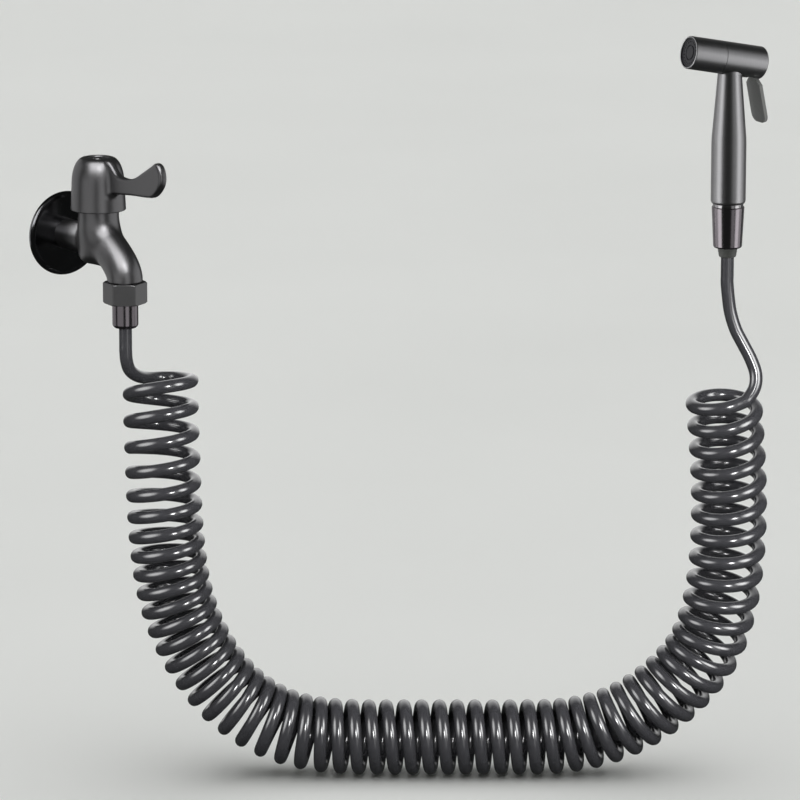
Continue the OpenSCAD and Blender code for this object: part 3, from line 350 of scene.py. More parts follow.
# %% Finish maker
def finish(name, low, high, rough, metal=1.0, grain=900.0, stretch=(1, 1, 1), tilt=(0, 0, 0),
           bump=0.02, bump_size=0.0002, spread=0.03, cloudy=0.15):
    """A Principled material. Its colour runs between low and high, and its roughness stays within
    spread of rough, by a fine noise of that grain and a share of a wide one. The noise is
    stretched along the part's own axes after a tilt."""
    m = bpy.data.materials.new(name)
    m.use_nodes = True
    tree = m.node_tree
    new, link = tree.nodes.new, tree.links.new
    shader = tree.nodes["Principled BSDF"]
    where = new("ShaderNodeTexCoord")
    along = new("ShaderNodeMapping")
    along.vector_type = "TEXTURE"
    along.inputs["Rotation"].default_value = [math.radians(t) for t in tilt]
    squeeze = new("ShaderNodeMapping")
    squeeze.inputs["Scale"].default_value = stretch
    noise = new("ShaderNodeTexNoise")
    noise.inputs["Scale"].default_value = grain
    noise.inputs["Detail"].default_value = 4
    wide = new("ShaderNodeTexNoise")
    wide.inputs["Scale"].default_value = grain / 12
    wide.inputs["Detail"].default_value = 2
    link(where.outputs["Object"], along.inputs["Vector"])
    link(along.outputs["Vector"], squeeze.inputs["Vector"])
    link(squeeze.outputs["Vector"], noise.inputs["Vector"])
    link(squeeze.outputs["Vector"], wide.inputs["Vector"])
    both = new("ShaderNodeMix")
    both.inputs["Factor"].default_value = cloudy
    link(noise.outputs["Fac"], both.inputs["A"])
    link(wide.outputs["Fac"], both.inputs["B"])
    colour = new("ShaderNodeValToRGB")
    colour.color_ramp.elements[0].position = 0.3
    colour.color_ramp.elements[1].position = 0.7
    colour.color_ramp.elements[0].color = (*low, 1)
    colour.color_ramp.elements[1].color = (*high, 1)
    link(both.outputs["Result"], colour.inputs["Fac"])
    link(colour.outputs["Color"], shader.inputs["Base Color"])
    roughness = new("ShaderNodeMapRange")
    roughness.inputs["From Min"].default_value = 0.3
    roughness.inputs["From Max"].default_value = 0.7
    roughness.inputs["To Min"].default_value = max(0.02, rough - spread)
    roughness.inputs["To Max"].default_value = rough + spread
    link(both.outputs["Result"], roughness.inputs["Value"])
    link(roughness.outputs["Result"], shader.inputs["Roughness"])
    relief = new("ShaderNodeBump")
    relief.inputs["Strength"].default_value = bump
    relief.inputs["Distance"].default_value = bump_size
    link(noise.outputs["Fac"], relief.inputs["Height"])
    link(relief.outputs["Normal"], shader.inputs["Normal"])
    shader.inputs["Metallic"].default_value = metal
    return m


# %% Gun-metal finishes
satin_gunmetal = finish("satin_gunmetal", (0.185, 0.183, 0.188), (0.215, 0.213, 0.218), 0.36,
                        grain=2400, bump=0.05)
nut_grey = finish("nut_grey", (0.17, 0.17, 0.172), (0.20, 0.20, 0.202), 0.42, grain=2400, bump=0.08)
polished_gunmetal = finish("polished_gunmetal", (0.21, 0.19, 0.205), (0.24, 0.22, 0.235), 0.20,
                           grain=1500, bump=0.01, spread=0.02)
brushed_grip = finish("brushed_grip", (0.28, 0.278, 0.285), (0.32, 0.318, 0.325), 0.34,
                      grain=120, stretch=(1, 1, 50), bump=0.012, bump_size=0.00005, cloudy=0.05)
brushed_head = finish("brushed_head", (0.28, 0.278, 0.285), (0.32, 0.318, 0.325), 0.37,
                      grain=120, stretch=(50, 1, 1), bump=0.012, bump_size=0.00005, cloudy=0.05,
                      tilt=(0, -HEAD_TILT, HANG_TURN + SPRAYER_TURN))
# A lighter gun-metal for the sleeve's lip: a painted highlight along the nozzle's rim.
lip_painted_highlight = finish("lip_painted_highlight", (0.52, 0.52, 0.53), (0.60, 0.60, 0.61), 0.34, grain=1500,
                    bump=0.02)
print("made", satin_gunmetal.name, "to", lip_painted_highlight.name)

# %% Plastic, steel, brass, rubber and ceramic
trigger_grey = finish("trigger_grey", (0.15, 0.153, 0.15), (0.17, 0.173, 0.17), 0.72, metal=0.0,
                      grain=1800, bump=0.06)
collar_grey = finish("collar_grey", (0.06, 0.062, 0.058), (0.07, 0.072, 0.068), 0.40, metal=0.0,
                     grain=1800, bump=0.04)
gloss_black = finish("gloss_black", (0.10, 0.10, 0.105), (0.12, 0.12, 0.125), 0.16, grain=600,
                     bump=0.01, spread=0.02)
face_black = finish("face_black", (0.010, 0.010, 0.013), (0.018, 0.018, 0.023), 0.38, metal=0.0,
                    grain=1500, bump=0.05)
bright_steel = finish("bright_steel", (0.62, 0.62, 0.64), (0.70, 0.70, 0.72), 0.18, grain=900,
                      bump=0.02, spread=0.02)
ring_gunmetal = finish("ring_gunmetal", (0.30, 0.29, 0.30), (0.36, 0.35, 0.36), 0.14, grain=900,
                       bump=0.02, spread=0.02)
yellow_brass = finish("yellow_brass", (0.55, 0.38, 0.15), (0.66, 0.47, 0.20), 0.26, grain=500,
                      bump=0.03)
black_rubber = finish("black_rubber", (0.012, 0.012, 0.012), (0.022, 0.022, 0.022), 0.60,
                      metal=0.0, grain=2500, bump=0.10)
white_ceramic = finish("white_ceramic", (0.78, 0.77, 0.73), (0.86, 0.85, 0.81), 0.14, metal=0.0,
                       grain=700, bump=0.01, spread=0.03)
print("made", trigger_grey.name, "to", white_ceramic.name)

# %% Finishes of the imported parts
# A part that is drawn again further on gets its finish here as well.
NODE_FINISH = {
    "cartridge_body": yellow_brass, "spindle": yellow_brass, "tap_hose_tail": yellow_brass,
    "sprayer_hose_tail": yellow_brass, "valve_body": yellow_brass, "valve_retainer": yellow_brass,
    "spindle_clip": bright_steel, "handle_screw": bright_steel, "water_tube": bright_steel,
    "valve_stem": bright_steel, "valve_spring": bright_steel, "trigger_pin": brushed_head,
    "grip_connector": ring_gunmetal,
    "cartridge_gasket": black_rubber, "cartridge_o_ring": black_rubber,
    "spindle_o_ring": black_rubber, "hose_nut_washer": black_rubber,
    "swivel_o_ring": black_rubber, "cone_nut_washer": black_rubber,
    "water_tube_o_rings": black_rubber, "sleeve_o_ring": black_rubber,
    "plate_gasket": black_rubber, "stem_o_ring": black_rubber, "valve_seal": black_rubber,
    "fixed_disc": white_ceramic, "moving_disc": white_ceramic,
    "tap_body": satin_gunmetal, "tap_handle": satin_gunmetal, "index_cap": satin_gunmetal,
    "wall_flange": gloss_black, "hose_nut": nut_grey, "tap_ferrule": polished_gunmetal,
    "hose_collar": collar_grey, "cone_nut": polished_gunmetal, "grip_tube": brushed_grip,
    "head_body": brushed_head, "nozzle_sleeve": brushed_head, "spray_plate": face_black,
    "trigger": trigger_grey,
}
for part, its_finish in NODE_FINISH.items():
    mesh = nodes[part].data
    mesh.materials.clear()
    mesh.materials.append(its_finish)
print("finished", len(NODE_FINISH), "packed parts")

# %% [markdown]
# ## The hose
# The hose is one polyurethane tube of 9.4 mm, coiled 58 times at 46.4 mm on its centre line. The
# coil hangs in a bow between the tap and the sprayer, so a turn is drawn about the bow's line,
# not about a straight axis. The spacing of the turns is a formula: even in the middle and wider
# at both ends, where the hose's own weight pulls them apart.

# %% The bow that the coil's turns follow
ROUTE = np.array([
    [24.5, 15, -91], [25, 8, -126], [26, 4, -160], [27, 2, -190], [29, 0, -221], [33.5, 0, -254],
    [42.5, 0, -284], [57, 0, -312], [77, 0, -336.5], [103, 0, -355], [133, 0, -365],
    [165, 0, -368], [200, 0, -368.3], [240, 0, -368.3], [285, 0, -368.3], [322, 0, -367],
    [354, 0, -359.7], [382.5, 0, -345], [407, 0, -324], [425, -1.5, -299], [435, -4, -268],
    [439.5, -7, -236], [441, -10, -205], [440.5, -14, -174], [438.5, -18.5, -142],
    [434.7, -26, -99]])


def cubics(p, steps):
    """Points on a smooth curve (Catmull-Rom) from the second point of p to the last but one.
    Between two points it is a cubic whose slope at each of them is half the step from the point
    before to the point after."""
    t = np.arange(steps)[None, :, None] / steps
    a, b, c, d = (p[i:len(p) - 3 + i, None, :] for i in range(4))
    curve = 0.5 * (2 * b + t * (c - a) + t ** 2 * (2 * a - 5 * b + 4 * c - d)
                   + t ** 3 * (3 * b - a - 3 * c + d))
    return curve.reshape(-1, p.shape[1])


def through(points, steps):
    """Smooth curve through points, from the first to the last."""
    whole = cubics(np.concatenate([points[:1], points, points[-1:]]), steps)
    return np.concatenate([whole, points[-1:]])


bow = through(ROUTE, 6)
bow_at = np.concatenate([[0], np.cumsum(np.linalg.norm(np.diff(bow, axis=0), axis=1))])
print("the bow is", round(bow_at[-1]), "mm long")


def on_bow(s):
    """Points of the bow at lengths s along it."""
    return np.stack([np.interp(s, bow_at, bow[:, i]) for i in range(3)], -1)


def unit(v):
    """Vectors of length one."""
    return v / np.linalg.norm(v, axis=-1, keepdims=True)


# %% Spacing of the turns
# Turns in all, wide turns at each end, the turns over which they fade into the middle ones, and
# how much wider they are, in pitches of the middle ones
TURNS, TAP_TURNS, SPRAYER_TURNS, FADE = 58, 5, 11, 1
TAP_EXTRA, SPRAYER_EXTRA = 0.5, 0.35


def wide_turns(n, count):
    """n up to about count, and then no more: n less a soft ramp that starts at count."""
    return n - FADE * (np.logaddexp(0, (n - count) / FADE) - np.logaddexp(0, -count / FADE))


def turn_length(n):
    """How far n turns reach, in pitches of the middle turns."""
    n = np.asarray(n, float)
    at_end = wide_turns(TURNS, SPRAYER_TURNS) - wide_turns(TURNS - n, SPRAYER_TURNS)
    return n + TAP_EXTRA * wide_turns(n, TAP_TURNS) + SPRAYER_EXTRA * at_end


PITCH = bow_at[-1] / turn_length(TURNS)
HOSE_R, COIL_D = 4.7, 55.8
COIL_R = COIL_D / 2 - HOSE_R
BOW_SPAN = 9


def coil_at(n):
    """Centre of the hose after n turns: a point of the bow, plus the coil's radius turned by n
    turns in the plane square to the bow. The bow's direction is taken over a span each way."""
    s = PITCH * turn_length(n)
    t = unit(on_bow(s + BOW_SPAN) - on_bow(s - BOW_SPAN))
    side = np.array([0, 1.0, 0])
    away = unit(side - (t @ side)[..., None] * t)
    outer = np.cross(away, t)
    f = 2 * np.pi * np.asarray(n)[..., None]
    return on_bow(s) + COIL_R * (np.cos(f) * outer + np.sin(f) * away)


print("pitch of the middle turns:", round(PITCH, 2), "mm")

# %% The whole hose as one line
# The leads run on smoothly because their curves also go through three points of the coil.
FIRST_TURN, LAST_TURN, RINGS_PER_TURN, LEAD_STEPS = 0.5, TURNS - 1 / 6, 40, 5
EIGHTHS = np.array([0, 0.125, 0.25])
turns_drawn = np.linspace(FIRST_TURN, LAST_TURN,
                          round((LAST_TURN - FIRST_TURN) * RINGS_PER_TURN) + 1)
coil = coil_at(turns_drawn)
at_tap = np.array([[0, 0, -52.7], [0, 0, -58], [0, 0, -62], [0, 0, -66], [0, 0, -71], [0, 0, -75.4],
                   [0.5, 1, -83], [2.5, 6, -91], [7.5, 16, -97.5], [15, 29, -102],
                   [25, 36.5, -103.5], [37, 33.5, -103]])
at_sprayer = np.array([[452.5, -43, -100.5], [457, -40, -93], [457.5, -37, -84], [454, -34.5, -74],
                       [448.5, -32.5, -63.5], [443, -31, -53], [439.2, -29.8, -41],
                       [437.5, -29.2, -30], [436.4, -29, -18.9], [436.4, -29, -14],
                       [436.4, -29, -9.5], [436.4, -29, -4], [436.4, -29, 2], [436.4, -29, 6]])
into = through(np.concatenate([at_tap, coil_at(FIRST_TURN + EIGHTHS)]), LEAD_STEPS)
out_of = through(np.concatenate([coil_at(LAST_TURN - EIGHTHS[::-1]), at_sprayer]), LEAD_STEPS)
hose_line = np.concatenate([into[:LEAD_STEPS * len(at_tap)], coil, out_of[2 * LEAD_STEPS + 1:]])
hose_length = np.linalg.norm(np.diff(hose_line, axis=0), axis=1).sum() / 1000
print("hose:", len(hose_line), "rings,", round(hose_length, 3), "m long")


# %% Tube along a line
def ring_frames(line):
    """Two directions square to a line at each of its points, carried along without twist: each
    one is the one before it, less its part along the line."""
    ahead = unit(np.gradient(line, axis=0))
    first = np.empty_like(line)
    a = np.array([1.0, 0, 0])
    for i, t in enumerate(ahead):
        a = a - (a @ t) * t
        a = a / np.linalg.norm(a)
        first[i] = a
    return first, np.cross(ahead, first)


def tube_grid(line, radius, sides=24):
    """Rings of a radius round a line, with a point at each end that closes it."""
    a, b = ring_frames(line)
    f = np.linspace(0, 2 * np.pi, sides, endpoint=False)[None, :, None]
    rings = line[:, None] + radius * (np.cos(f) * a[:, None] + np.sin(f) * b[:, None])
    start = np.broadcast_to(line[:1, None], (1, sides, 3))
    end = np.broadcast_to(line[-1:, None], (1, sides, 3))
    return np.concatenate([start, rings, end])


# %% The hose
hose_gloss = finish("hose_gloss", (0.015, 0.015, 0.0165), (0.019, 0.019, 0.021), 0.17, metal=0.0,
                    grain=300, bump=0.002, spread=0.01)
RING_EXTRA = 0.02  # a ring's 24 flat sides cut a little inside its circle
hose = grid_piece("hose", tube_grid(hose_line, HOSE_R + RING_EXTRA), HANG, hose_gloss)
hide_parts("hose_tap_lead", "hose_coil", "hose_sprayer_lead")
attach(hose, "tap")

# %% [markdown]
# ## The cast tap body
# The body is one casting: the neck, the barrel and the bent spout run into each other through
# soft hollows that no turned part has. Such a form is easy to say as a distance field: each of
# the three has a distance, and a soft union rounds the hollow between them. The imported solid
# gives the mesh with its real bores; its outer points are then pulled onto the field.

# %% Distances
def soft_union(a, b, k):
    """The smaller of two distances, with the step between them rounded over k: where they are
    nearly equal, the field sinks by up to a quarter of k, which fills the hollow."""
    h = np.clip(0.5 + 0.5 * (b - a) / k, 0, 1)
    return b + (a - b) * h - k * h * (1 - h)


def to_line(p, line):
    """Distance from points to a line of joined straight pieces: the least of the distances to the
    nearest point of each piece."""
    a, d = line[:-1], np.diff(line, axis=0)
    t = np.clip(((p[:, None] - a) * d).sum(-1) / (d * d).sum(-1), 0, 1)
    return np.linalg.norm(p[:, None] - (a + t[..., None] * d), axis=-1).min(1)


def to_outline(p, outline):
    """Signed distance from flat points to a closed outline: the least distance to its sides,
    negative where a ray from the point crosses the outline an odd number of times."""
    a, b = outline, np.roll(outline, -1, 0)
    far = to_line(p, np.concatenate([outline, outline[:1]]))
    x, y = p[:, :1], p[:, 1:]
    crosses = (a[:, 1] > y) != (b[:, 1] > y)
    rise = np.where(b[:, 1] == a[:, 1], 1e-9, b[:, 1] - a[:, 1])
    inside = (crosses & (x < (b[:, 0] - a[:, 0]) * (y - a[:, 1]) / rise + a[:, 0])).sum(1) % 2 == 1
    return np.where(inside, -far, far)


def box_corner(u, v, r):
    """Distance to a rounded corner between two faces whose own distances are u and v."""
    u, v = u + r, v + r
    return np.hypot(np.maximum(u, 0), np.maximum(v, 0)) + np.minimum(np.maximum(u, v), 0) - r


print("a soft union over 4 mm fills its hollow by", -soft_union(0.0, 0.0, 4), "mm")


# %% Points onto a field
def pulled(points, field, reach, keep):
    """Points nearer than reach to the field's surface move onto it in six steps, each by the
    field's value along its slope; points where keep is true stay."""
    p = points.copy()
    near = (np.abs(field(p)) < reach) & ~keep(p)
    q = p[near]
    step = 0.01
    for _ in range(6):
        d = field(q)
        ahead = [field(q + step * e) - field(q - step * e) for e in np.eye(3)]
        slope = np.stack(ahead, 1) / step / 2
        q = q - (d / np.maximum((slope ** 2).sum(1), 0.2))[:, None] * slope
    p[near] = q
    return p


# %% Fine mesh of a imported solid
def settled(piece):
    """The mesh that a piece's modifiers make. The modifiers go."""
    bpy.context.view_layer.update()
    mesh = bpy.data.meshes.new_from_object(
        piece.evaluated_get(bpy.context.evaluated_depsgraph_get()))
    piece.modifiers.clear()
    return mesh


def fine_copy(name, part, voxel, plug=None):
    """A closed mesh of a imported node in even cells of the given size, in millimetres. A plug fills
    a hollow first."""
    mesh = nodes[part].data.copy()
    work = bmesh.new()
    work.from_mesh(mesh)
    bmesh.ops.remove_doubles(work, verts=work.verts, dist=1e-6)
    if plug is not None:
        work.from_mesh(plug.data)
    work.to_mesh(mesh)
    work.free()
    piece = put(name, mesh)
    cells = piece.modifiers.new("cells", "REMESH")
    cells.mode = "VOXEL"
    cells.voxel_size = voxel / 1000
    cells.adaptivity = 0
    piece.data = settled(piece)
    bpy.data.meshes.remove(mesh)
    return piece


def pull_piece(piece, field, reach, keep):
    """Pulls a mesh's points onto a field, in millimetres."""
    mesh = piece.data
    co = np.empty(len(mesh.vertices) * 3)
    mesh.vertices.foreach_get("co", co)
    co = pulled(co.reshape(-1, 3) * 1000, field, reach, keep)
    mesh.vertices.foreach_set("co", (co / 1000).ravel())
    smooth(mesh)
    mesh.update()
    print(f"{piece.name}: {len(mesh.vertices)} points on the field")


def dress(piece, part, body, look):
    """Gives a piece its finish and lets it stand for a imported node."""
    piece.data.materials.clear()
    piece.data.materials.append(look)
    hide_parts(part)
    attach(piece, body)
    return piece


# %% Tap body
# Radii of the barrel, spout and neck; how far the barrel's foot drops and how round its corner is;
# the hollows at the spout and the neck; and the size of a cell
TAP_BARREL_R, TAP_SPOUT_R, TAP_NECK_R = 15, 13, 11
BARREL_DROP, BARREL_CORNER, SPOUT_HOLLOW, NECK_HOLLOW, CELL = 15, 8, 7, 4, 0.75
# The wall thread behind one place and the threaded outlet below the other stay as packed
THREAD_BEHIND_Y, THREAD_BELOW_Z = -2.6, -22.4
t = np.linspace(0, 1, 25)[:, None]
bend = [np.array([0, y + BARREL_Y, z])
        for y, z in [(-1, 7), (-18, -4), (-34, -13), (-34, -22.8)]]
spout_axis = ((1 - t) ** 3 * bend[0] + 3 * (1 - t) ** 2 * t * bend[1]
              + 3 * (1 - t) * t ** 2 * bend[2] + t ** 3 * bend[3])
spout_axis = np.concatenate([spout_axis, [[0, OUTLET_Y, -60]]])


def body_field(p):
    """Barrel with a rounded foot, joined softly to the spout's tube and to the neck."""
    x, y, z = p.T
    barrel = box_corner(np.hypot(x, y - BARREL_Y) - TAP_BARREL_R, -BARREL_DROP - z, BARREL_CORNER)
    spout = to_line(p, spout_axis) - TAP_SPOUT_R
    neck = np.maximum(np.hypot(x, z) - TAP_NECK_R, BARREL_Y - y)
    return soft_union(soft_union(barrel, spout, SPOUT_HOLLOW), neck, NECK_HOLLOW)


tap_body = fine_copy("tap_body_cast", "tap_body", CELL)
pull_piece(tap_body, body_field, 2.2,
           lambda p: (p[:, 1] > THREAD_BEHIND_Y) | (p[:, 2] < THREAD_BELOW_Z))
dress(tap_body, "tap_body", "tap", satin_gunmetal)

# %% [markdown]
# ## The handle
# The handle is a domed cap with a flat paddle of a lever, cast together. The same way serves:
# the cap's profile and the lever's outline each give a distance, and a soft union makes the
# hollow where the lever grows out of the cap. The recess in the top is cut afterwards, so that
# its rim stays crisp.

# %% Closed smooth outline
def closed_through(points, steps):
    """Smooth closed curve through points, which runs on from the last to the first."""
    points = np.asarray(points, float)
    return cubics(np.concatenate([points[-1:], points, points[:2]]), steps)


# %% Outlines of the cap and the lever
# The cap: heights of its base, its top and the foot of its dome; radii of its base and of its flat
# top; how much narrower it is where the dome starts; its wall
CAP_BASE, CAP_TOP, DOME = 24.5, 63.0, 43.75
CAP_R, CAP_FLAT_R, CAP_DRAFT, CAP_WALL = 20.25, 10.5, 0.9, 3
# The lever: its reach, the heights of its waist and flared end, how far its lower edge rises, the
# height of that edge, its thickness, its rounded edge and the hollow where it grows out of the
# cap. It starts 2 mm inside the cap's wall.
REACH, WAIST, FLARE, RISE = 86, 11.5, 26, 5
LEVER_FOOT, LEVER_THICK, LEVER_EDGE, LEVER_HOLLOW = 39, 6.6, 2.4, 5
ROOT = CAP_R - CAP_WALL - 2
lever_outline = closed_through([
    [ROOT, 0], [0.3 * REACH, 0.1 * RISE], [0.55 * REACH, 0.55 * RISE],
    [0.76 * REACH, 0.8 * RISE], [0.88 * REACH, RISE + 0.04 * FLARE],
    [0.975 * REACH, RISE + 0.33 * FLARE], [REACH, RISE + 0.62 * FLARE],
    [0.97 * REACH, RISE + 0.9 * FLARE], [0.91 * REACH, RISE + FLARE],
    [0.84 * REACH, RISE + 0.88 * FLARE], [0.71 * REACH, 0.8 * RISE + 0.68 * FLARE],
    [0.6 * REACH, 0.6 * RISE + 0.35 * FLARE + 0.4 * WAIST],
    [0.5 * REACH, 0.55 * RISE + WAIST], [0.41 * REACH, 0.5 * RISE + WAIST],
    [0.32 * REACH, WAIST + 4], [ROOT, WAIST + 12]], 6)
arc = np.radians(np.arange(0, 91, 5))
shoulder = CAP_R - CAP_DRAFT - CAP_FLAT_R
dome = np.stack([CAP_FLAT_R + shoulder * np.cos(arc), DOME + (CAP_TOP - DOME) * np.sin(arc)], 1)
cap_profile = np.concatenate([[[-1, CAP_BASE], [CAP_R, CAP_BASE]], dome, [[-1, CAP_TOP]]])
print("outline points: lever", len(lever_outline), " cap", len(cap_profile))


# %% Handle
def handle_field(p):
    """Cap of revolution with a softly rounded skirt edge, joined softly to a plate cut to the
    lever's outline, with its edges rounded."""
    x, y, z = p.T
    out, up = BARREL_Y - y, z
    cap = to_outline(np.stack([np.hypot(x, out), up], 1), cap_profile)
    plate = box_corner(to_outline(np.stack([out, up - LEVER_FOOT], 1), lever_outline),
                       np.abs(x) - LEVER_THICK / 2, LEVER_EDGE)
    return soft_union(cap, plate, LEVER_HOLLOW)


def disc(name, radius, low, high):
    """A plain disc about the barrel's axis, between two heights."""
    profile = np.array([[0, low], [radius, low], [radius, high], [0, high]])
    return grid_piece(name, revolved(profile, 96), BARREL, satin_gunmetal)


RECESS_R, RECESS_FLOOR = 8.5, 60.6
plug = disc("recess_plug", RECESS_R + 0.1, RECESS_FLOOR - 0.6, CAP_TOP - 0.02)
tap_handle = fine_copy("tap_handle_cast", "tap_handle", CELL, plug)
bpy.data.objects.remove(plug)
pull_piece(tap_handle, handle_field, 2.0, lambda p: p[:, 2] < CAP_BASE + 0.5)
recess = disc("recess_cutter", RECESS_R, RECESS_FLOOR, 66)
cut = tap_handle.modifiers.new("recess", "BOOLEAN")
cut.operation, cut.solver, cut.object = "DIFFERENCE", "EXACT", recess
tap_handle.data = settled(tap_handle)
bpy.data.objects.remove(recess)
dress(tap_handle, "tap_handle", "handle", satin_gunmetal)
print("handle:", len(tap_handle.data.polygons), "faces")

# %% [markdown]
# ## Turned parts of the tap
# The flange, the ferrule and the small cap in the handle's top are turned parts. Each is a closed
# profile that goes round its axis, with every edge slightly rounded, because it is the rounded
# edge that catches the light.

# %% Turned parts
def turned_part(name, part, profile, place, body, look, radii=0.25, around=128):
    """A closed profile, softened and revolved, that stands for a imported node."""
    loop = softened(np.concatenate([profile, profile[:1]]), radii)[:-1]
    piece = grid_piece(name, revolved(loop, around), place, look, close_rows=True)
    even_shading(piece)
    return dress(piece, part, body, look)


FLANGE = turn("x", 90)
flange = turned_part("wall_flange_pressed", "wall_flange", [
    [11.3, 0.1], [11.3, 2.2], [10.97, 2.6], [10.97, 3.15], [14, 3.2], [27.7, 3.2], [29.4, 2.8],
    [30.7, 1.9], [31.2, 0.8], [31.2, 0], [28.2, 0], [28.2, 1.8], [12.7, 1.8], [12.7, 0.1]],
    FLANGE, "tap", gloss_black,
    radii=[0, 0, 0, 0.05, 0.4, 0.4, 0.4, 0.4, 0.4, 0.1, 0.1, 0.1, 0.1, 0.1, 0], around=192)
turned_part("tap_ferrule_crimped", "tap_ferrule", [
    [4.8, -57.7], [7.9, -57.7], [9.5, -56.1], [9.5, -39.9], [9.3, -39.7], [7.5, -39.7],
    [7.5, -44.7], [4.8, -44.7]], OUTLET, "tap", polished_gunmetal,
    radii=[0, 0.2, 1.2, 0.15, 0.1, 0, 0, 0, 0])
turned_part("index_cap_turned", "index_cap", [
    [0.02, 61.1], [3.5, 61.1], [3.5, 62.0], [3.6, 61.1], [8.35, 61.1], [8.35, 62.7], [7.4, 62.7],
    [7.2, 62.2], [3.6, 62.2], [3.3, 62.7], [2.6, 63.1], [0.02, 63.2]], BARREL, "handle",
    satin_gunmetal, radii=0.15, around=96)

# %% [markdown]
# ## The hose nut
# A hexagon nut whose corners are turned down a little at both ends. The grid's columns follow the
# hexagon's softened outline; each row takes the smaller of that outline and a cone, which cuts
# the corners and leaves the flats whole.

# %% Hose nut
def hex_outline(across, corner_r, per_side=10):
    """A hexagon's outline with rounded corners, as points round the axis."""
    a = np.radians(60 * np.arange(6))
    corners = across / 2 / math.cos(math.radians(30)) * np.stack([np.cos(a), np.sin(a)], 1)
    ring = np.concatenate([corners[-1:], corners, corners[:1]])
    rounded = softened(ring, corner_r, 5)[1:-1]
    steps = np.linspace(0, 1, per_side, endpoint=False)[:, None]
    after = np.roll(rounded, -1, 0)
    long = np.linalg.norm(after - rounded, axis=1) > across / 5
    return np.concatenate([(p + steps * (q - p)) if far else p[None]
                           for p, q, far in zip(rounded, after, long)])


def nut_grid(outline, base, top, cone, bores):
    """Rows up the outside, at the smaller of the outline's radius and the cone's, and down the
    bores. The cone widens by 1 for every 0.7 that it rises. One more row lies in each end face,
    1.5 inside the outline."""
    radius = np.linalg.norm(outline, axis=1)
    way = outline / radius[:, None]
    end = np.linspace(0, 1.2, 9)
    rise = np.concatenate([end, np.linspace(1.5, top - base - 1.5, 5), top - base - end[::-1]])
    limit = cone + np.minimum(rise, top - base - rise) / 0.7
    rows = [np.minimum(radius, c) for c in limit]
    heights = list(base + rise)
    rows = [radius - 1.5] + rows + [radius - 1.5]
    heights = [base] + heights + [top]
    for r, h in bores:
        rows.append(np.full(len(radius), r))
        heights.append(h)
    rows, heights = np.array(rows), np.array(heights)
    flat = rows[..., None] * way[None]
    return np.concatenate([flat, np.broadcast_to(heights[:, None, None], (*rows.shape, 1))], -1)


NUT_ACROSS, NUT_BASE, NUT_TOP, NUT_CONE_R, NUT_TURN = 28.3, -39.5, -24, 15.14, 23.5
nut_bores = [(10.56, NUT_TOP), (10.56, -36), (7.5, -36), (7.5, NUT_BASE)]
nut = grid_piece("hose_nut_hex",
                 nut_grid(hex_outline(NUT_ACROSS, 0.7), NUT_BASE, NUT_TOP, NUT_CONE_R, nut_bores),
                 OUTLET @ turn("z", NUT_TURN), nut_grey, close_rows=True)
even_shading(nut)
dress(nut, "hose_nut", "tap", nut_grey)

# %% [markdown]
# ## Turned parts of the sprayer
# The ribbed collar, the polished cone nut and the sleeve of the nozzle are turned as well. The
# grip is turned too, but its upper end is cut to the round of the head: there each column of the
# grid stops at its own height, where it meets the head's cylinder.

# %% Collar, cone nut and sleeve
turned_part("hose_collar_ribbed", "hose_collar", [
    [4.8, -7], [5.8, -7], [6.2, -6.4], [6.55, -4.9], [6.35, -4.7], [6.5, -4.4], [6.9, -2.9],
    [6.7, -2.7], [6.85, -2.4], [7.3, -0.6], [7.4, 0], [7.4, 6], [4.8, 6]], SPRAYER, "sprayer",
    collar_grey, radii=0.15)
turned_part("cone_nut_polished", "cone_nut", [
    [7.48, 0], [9.7, 0], [10.4, 0.8], [11.8, 29.4], [11.3, 30], [10.56, 30], [10.56, 14.92],
    [7.48, 14.92]], SPRAYER, "sprayer", polished_gunmetal,
    radii=[0, 0.1, 0.6, 0.3, 0.1, 0, 0, 0, 0])
sleeve = turned_part("nozzle_sleeve_turned", "nozzle_sleeve", [
    [9.68, 8.8], [11.5, 8.8], [11.85, 9.2], [11.85, 34.5], [11.4, 35], [10.9, 35],
    [10.6, 34.6], [10.6, 30.3], [9, 30.3], [9, 19.4], [9.68, 19.4]], HEAD_AXIS, "sprayer",
    brushed_head, radii=0.22, around=160)

# %% Lip of the sleeve, lighter as a painted highlight
LIP_FROM = 34.45
sleeve.data.materials.append(lip_painted_highlight)
centres = np.empty(len(sleeve.data.polygons) * 3)
sleeve.data.polygons.foreach_get("center", centres)
along_head = (centres.reshape(-1, 3) * 1000 - HEAD_AXIS[:3, 3]) @ HEAD_AXIS[:3, 2]
sleeve.data.polygons.foreach_set("material_index", (along_head > LIP_FROM).astype(np.int32))
print("bright lip:", int((along_head > LIP_FROM).sum()), "faces")

# %% Grip
# Radii of the grip, its neck and the head; the length of the taper; the height up to which the
# rows are level; the bores; and the small hollow under the head
GRIP_R, NECK_R, HEAD_R, TILT = 12.6, 8.75, 11.85, math.radians(HEAD_TILT)
TAPER_LENGTH, LEVEL_TOP = 58.5, 110
GRIP_BORE_R, NECK_BORE_R = 11.3, 7.3
HOLLOW_OUT, HOLLOW_HIGH = 0.7, 1.6
taper = (GRIP_R - NECK_R) / (TAPER_LENGTH - HEAD_R)
grip_outside = softened([
    [GRIP_R - 1.7, 32], [GRIP_R - 0.6, 32.7], [GRIP_R, 34], [GRIP_R, 75], [GRIP_R - 0.12, 80],
    [GRIP_R - 0.55, 85], [NECK_R - taper * HEAD_R, HEAD_HEIGHT]], [0, 0.6, 1.2, 3, 3, 6, 0])


def grip_radius(z):
    """Outer radius of the grip at a height."""
    return np.interp(z, grip_outside[:, 1], grip_outside[:, 0])


def saddle_height(x, y):
    """Height at which a line parallel to the grip meets the underside of the tilted head."""
    down = -np.sqrt(np.maximum(HEAD_R ** 2 - y ** 2, 0))
    return HEAD_HEIGHT + (down + x * math.sin(TILT)) / math.cos(TILT)


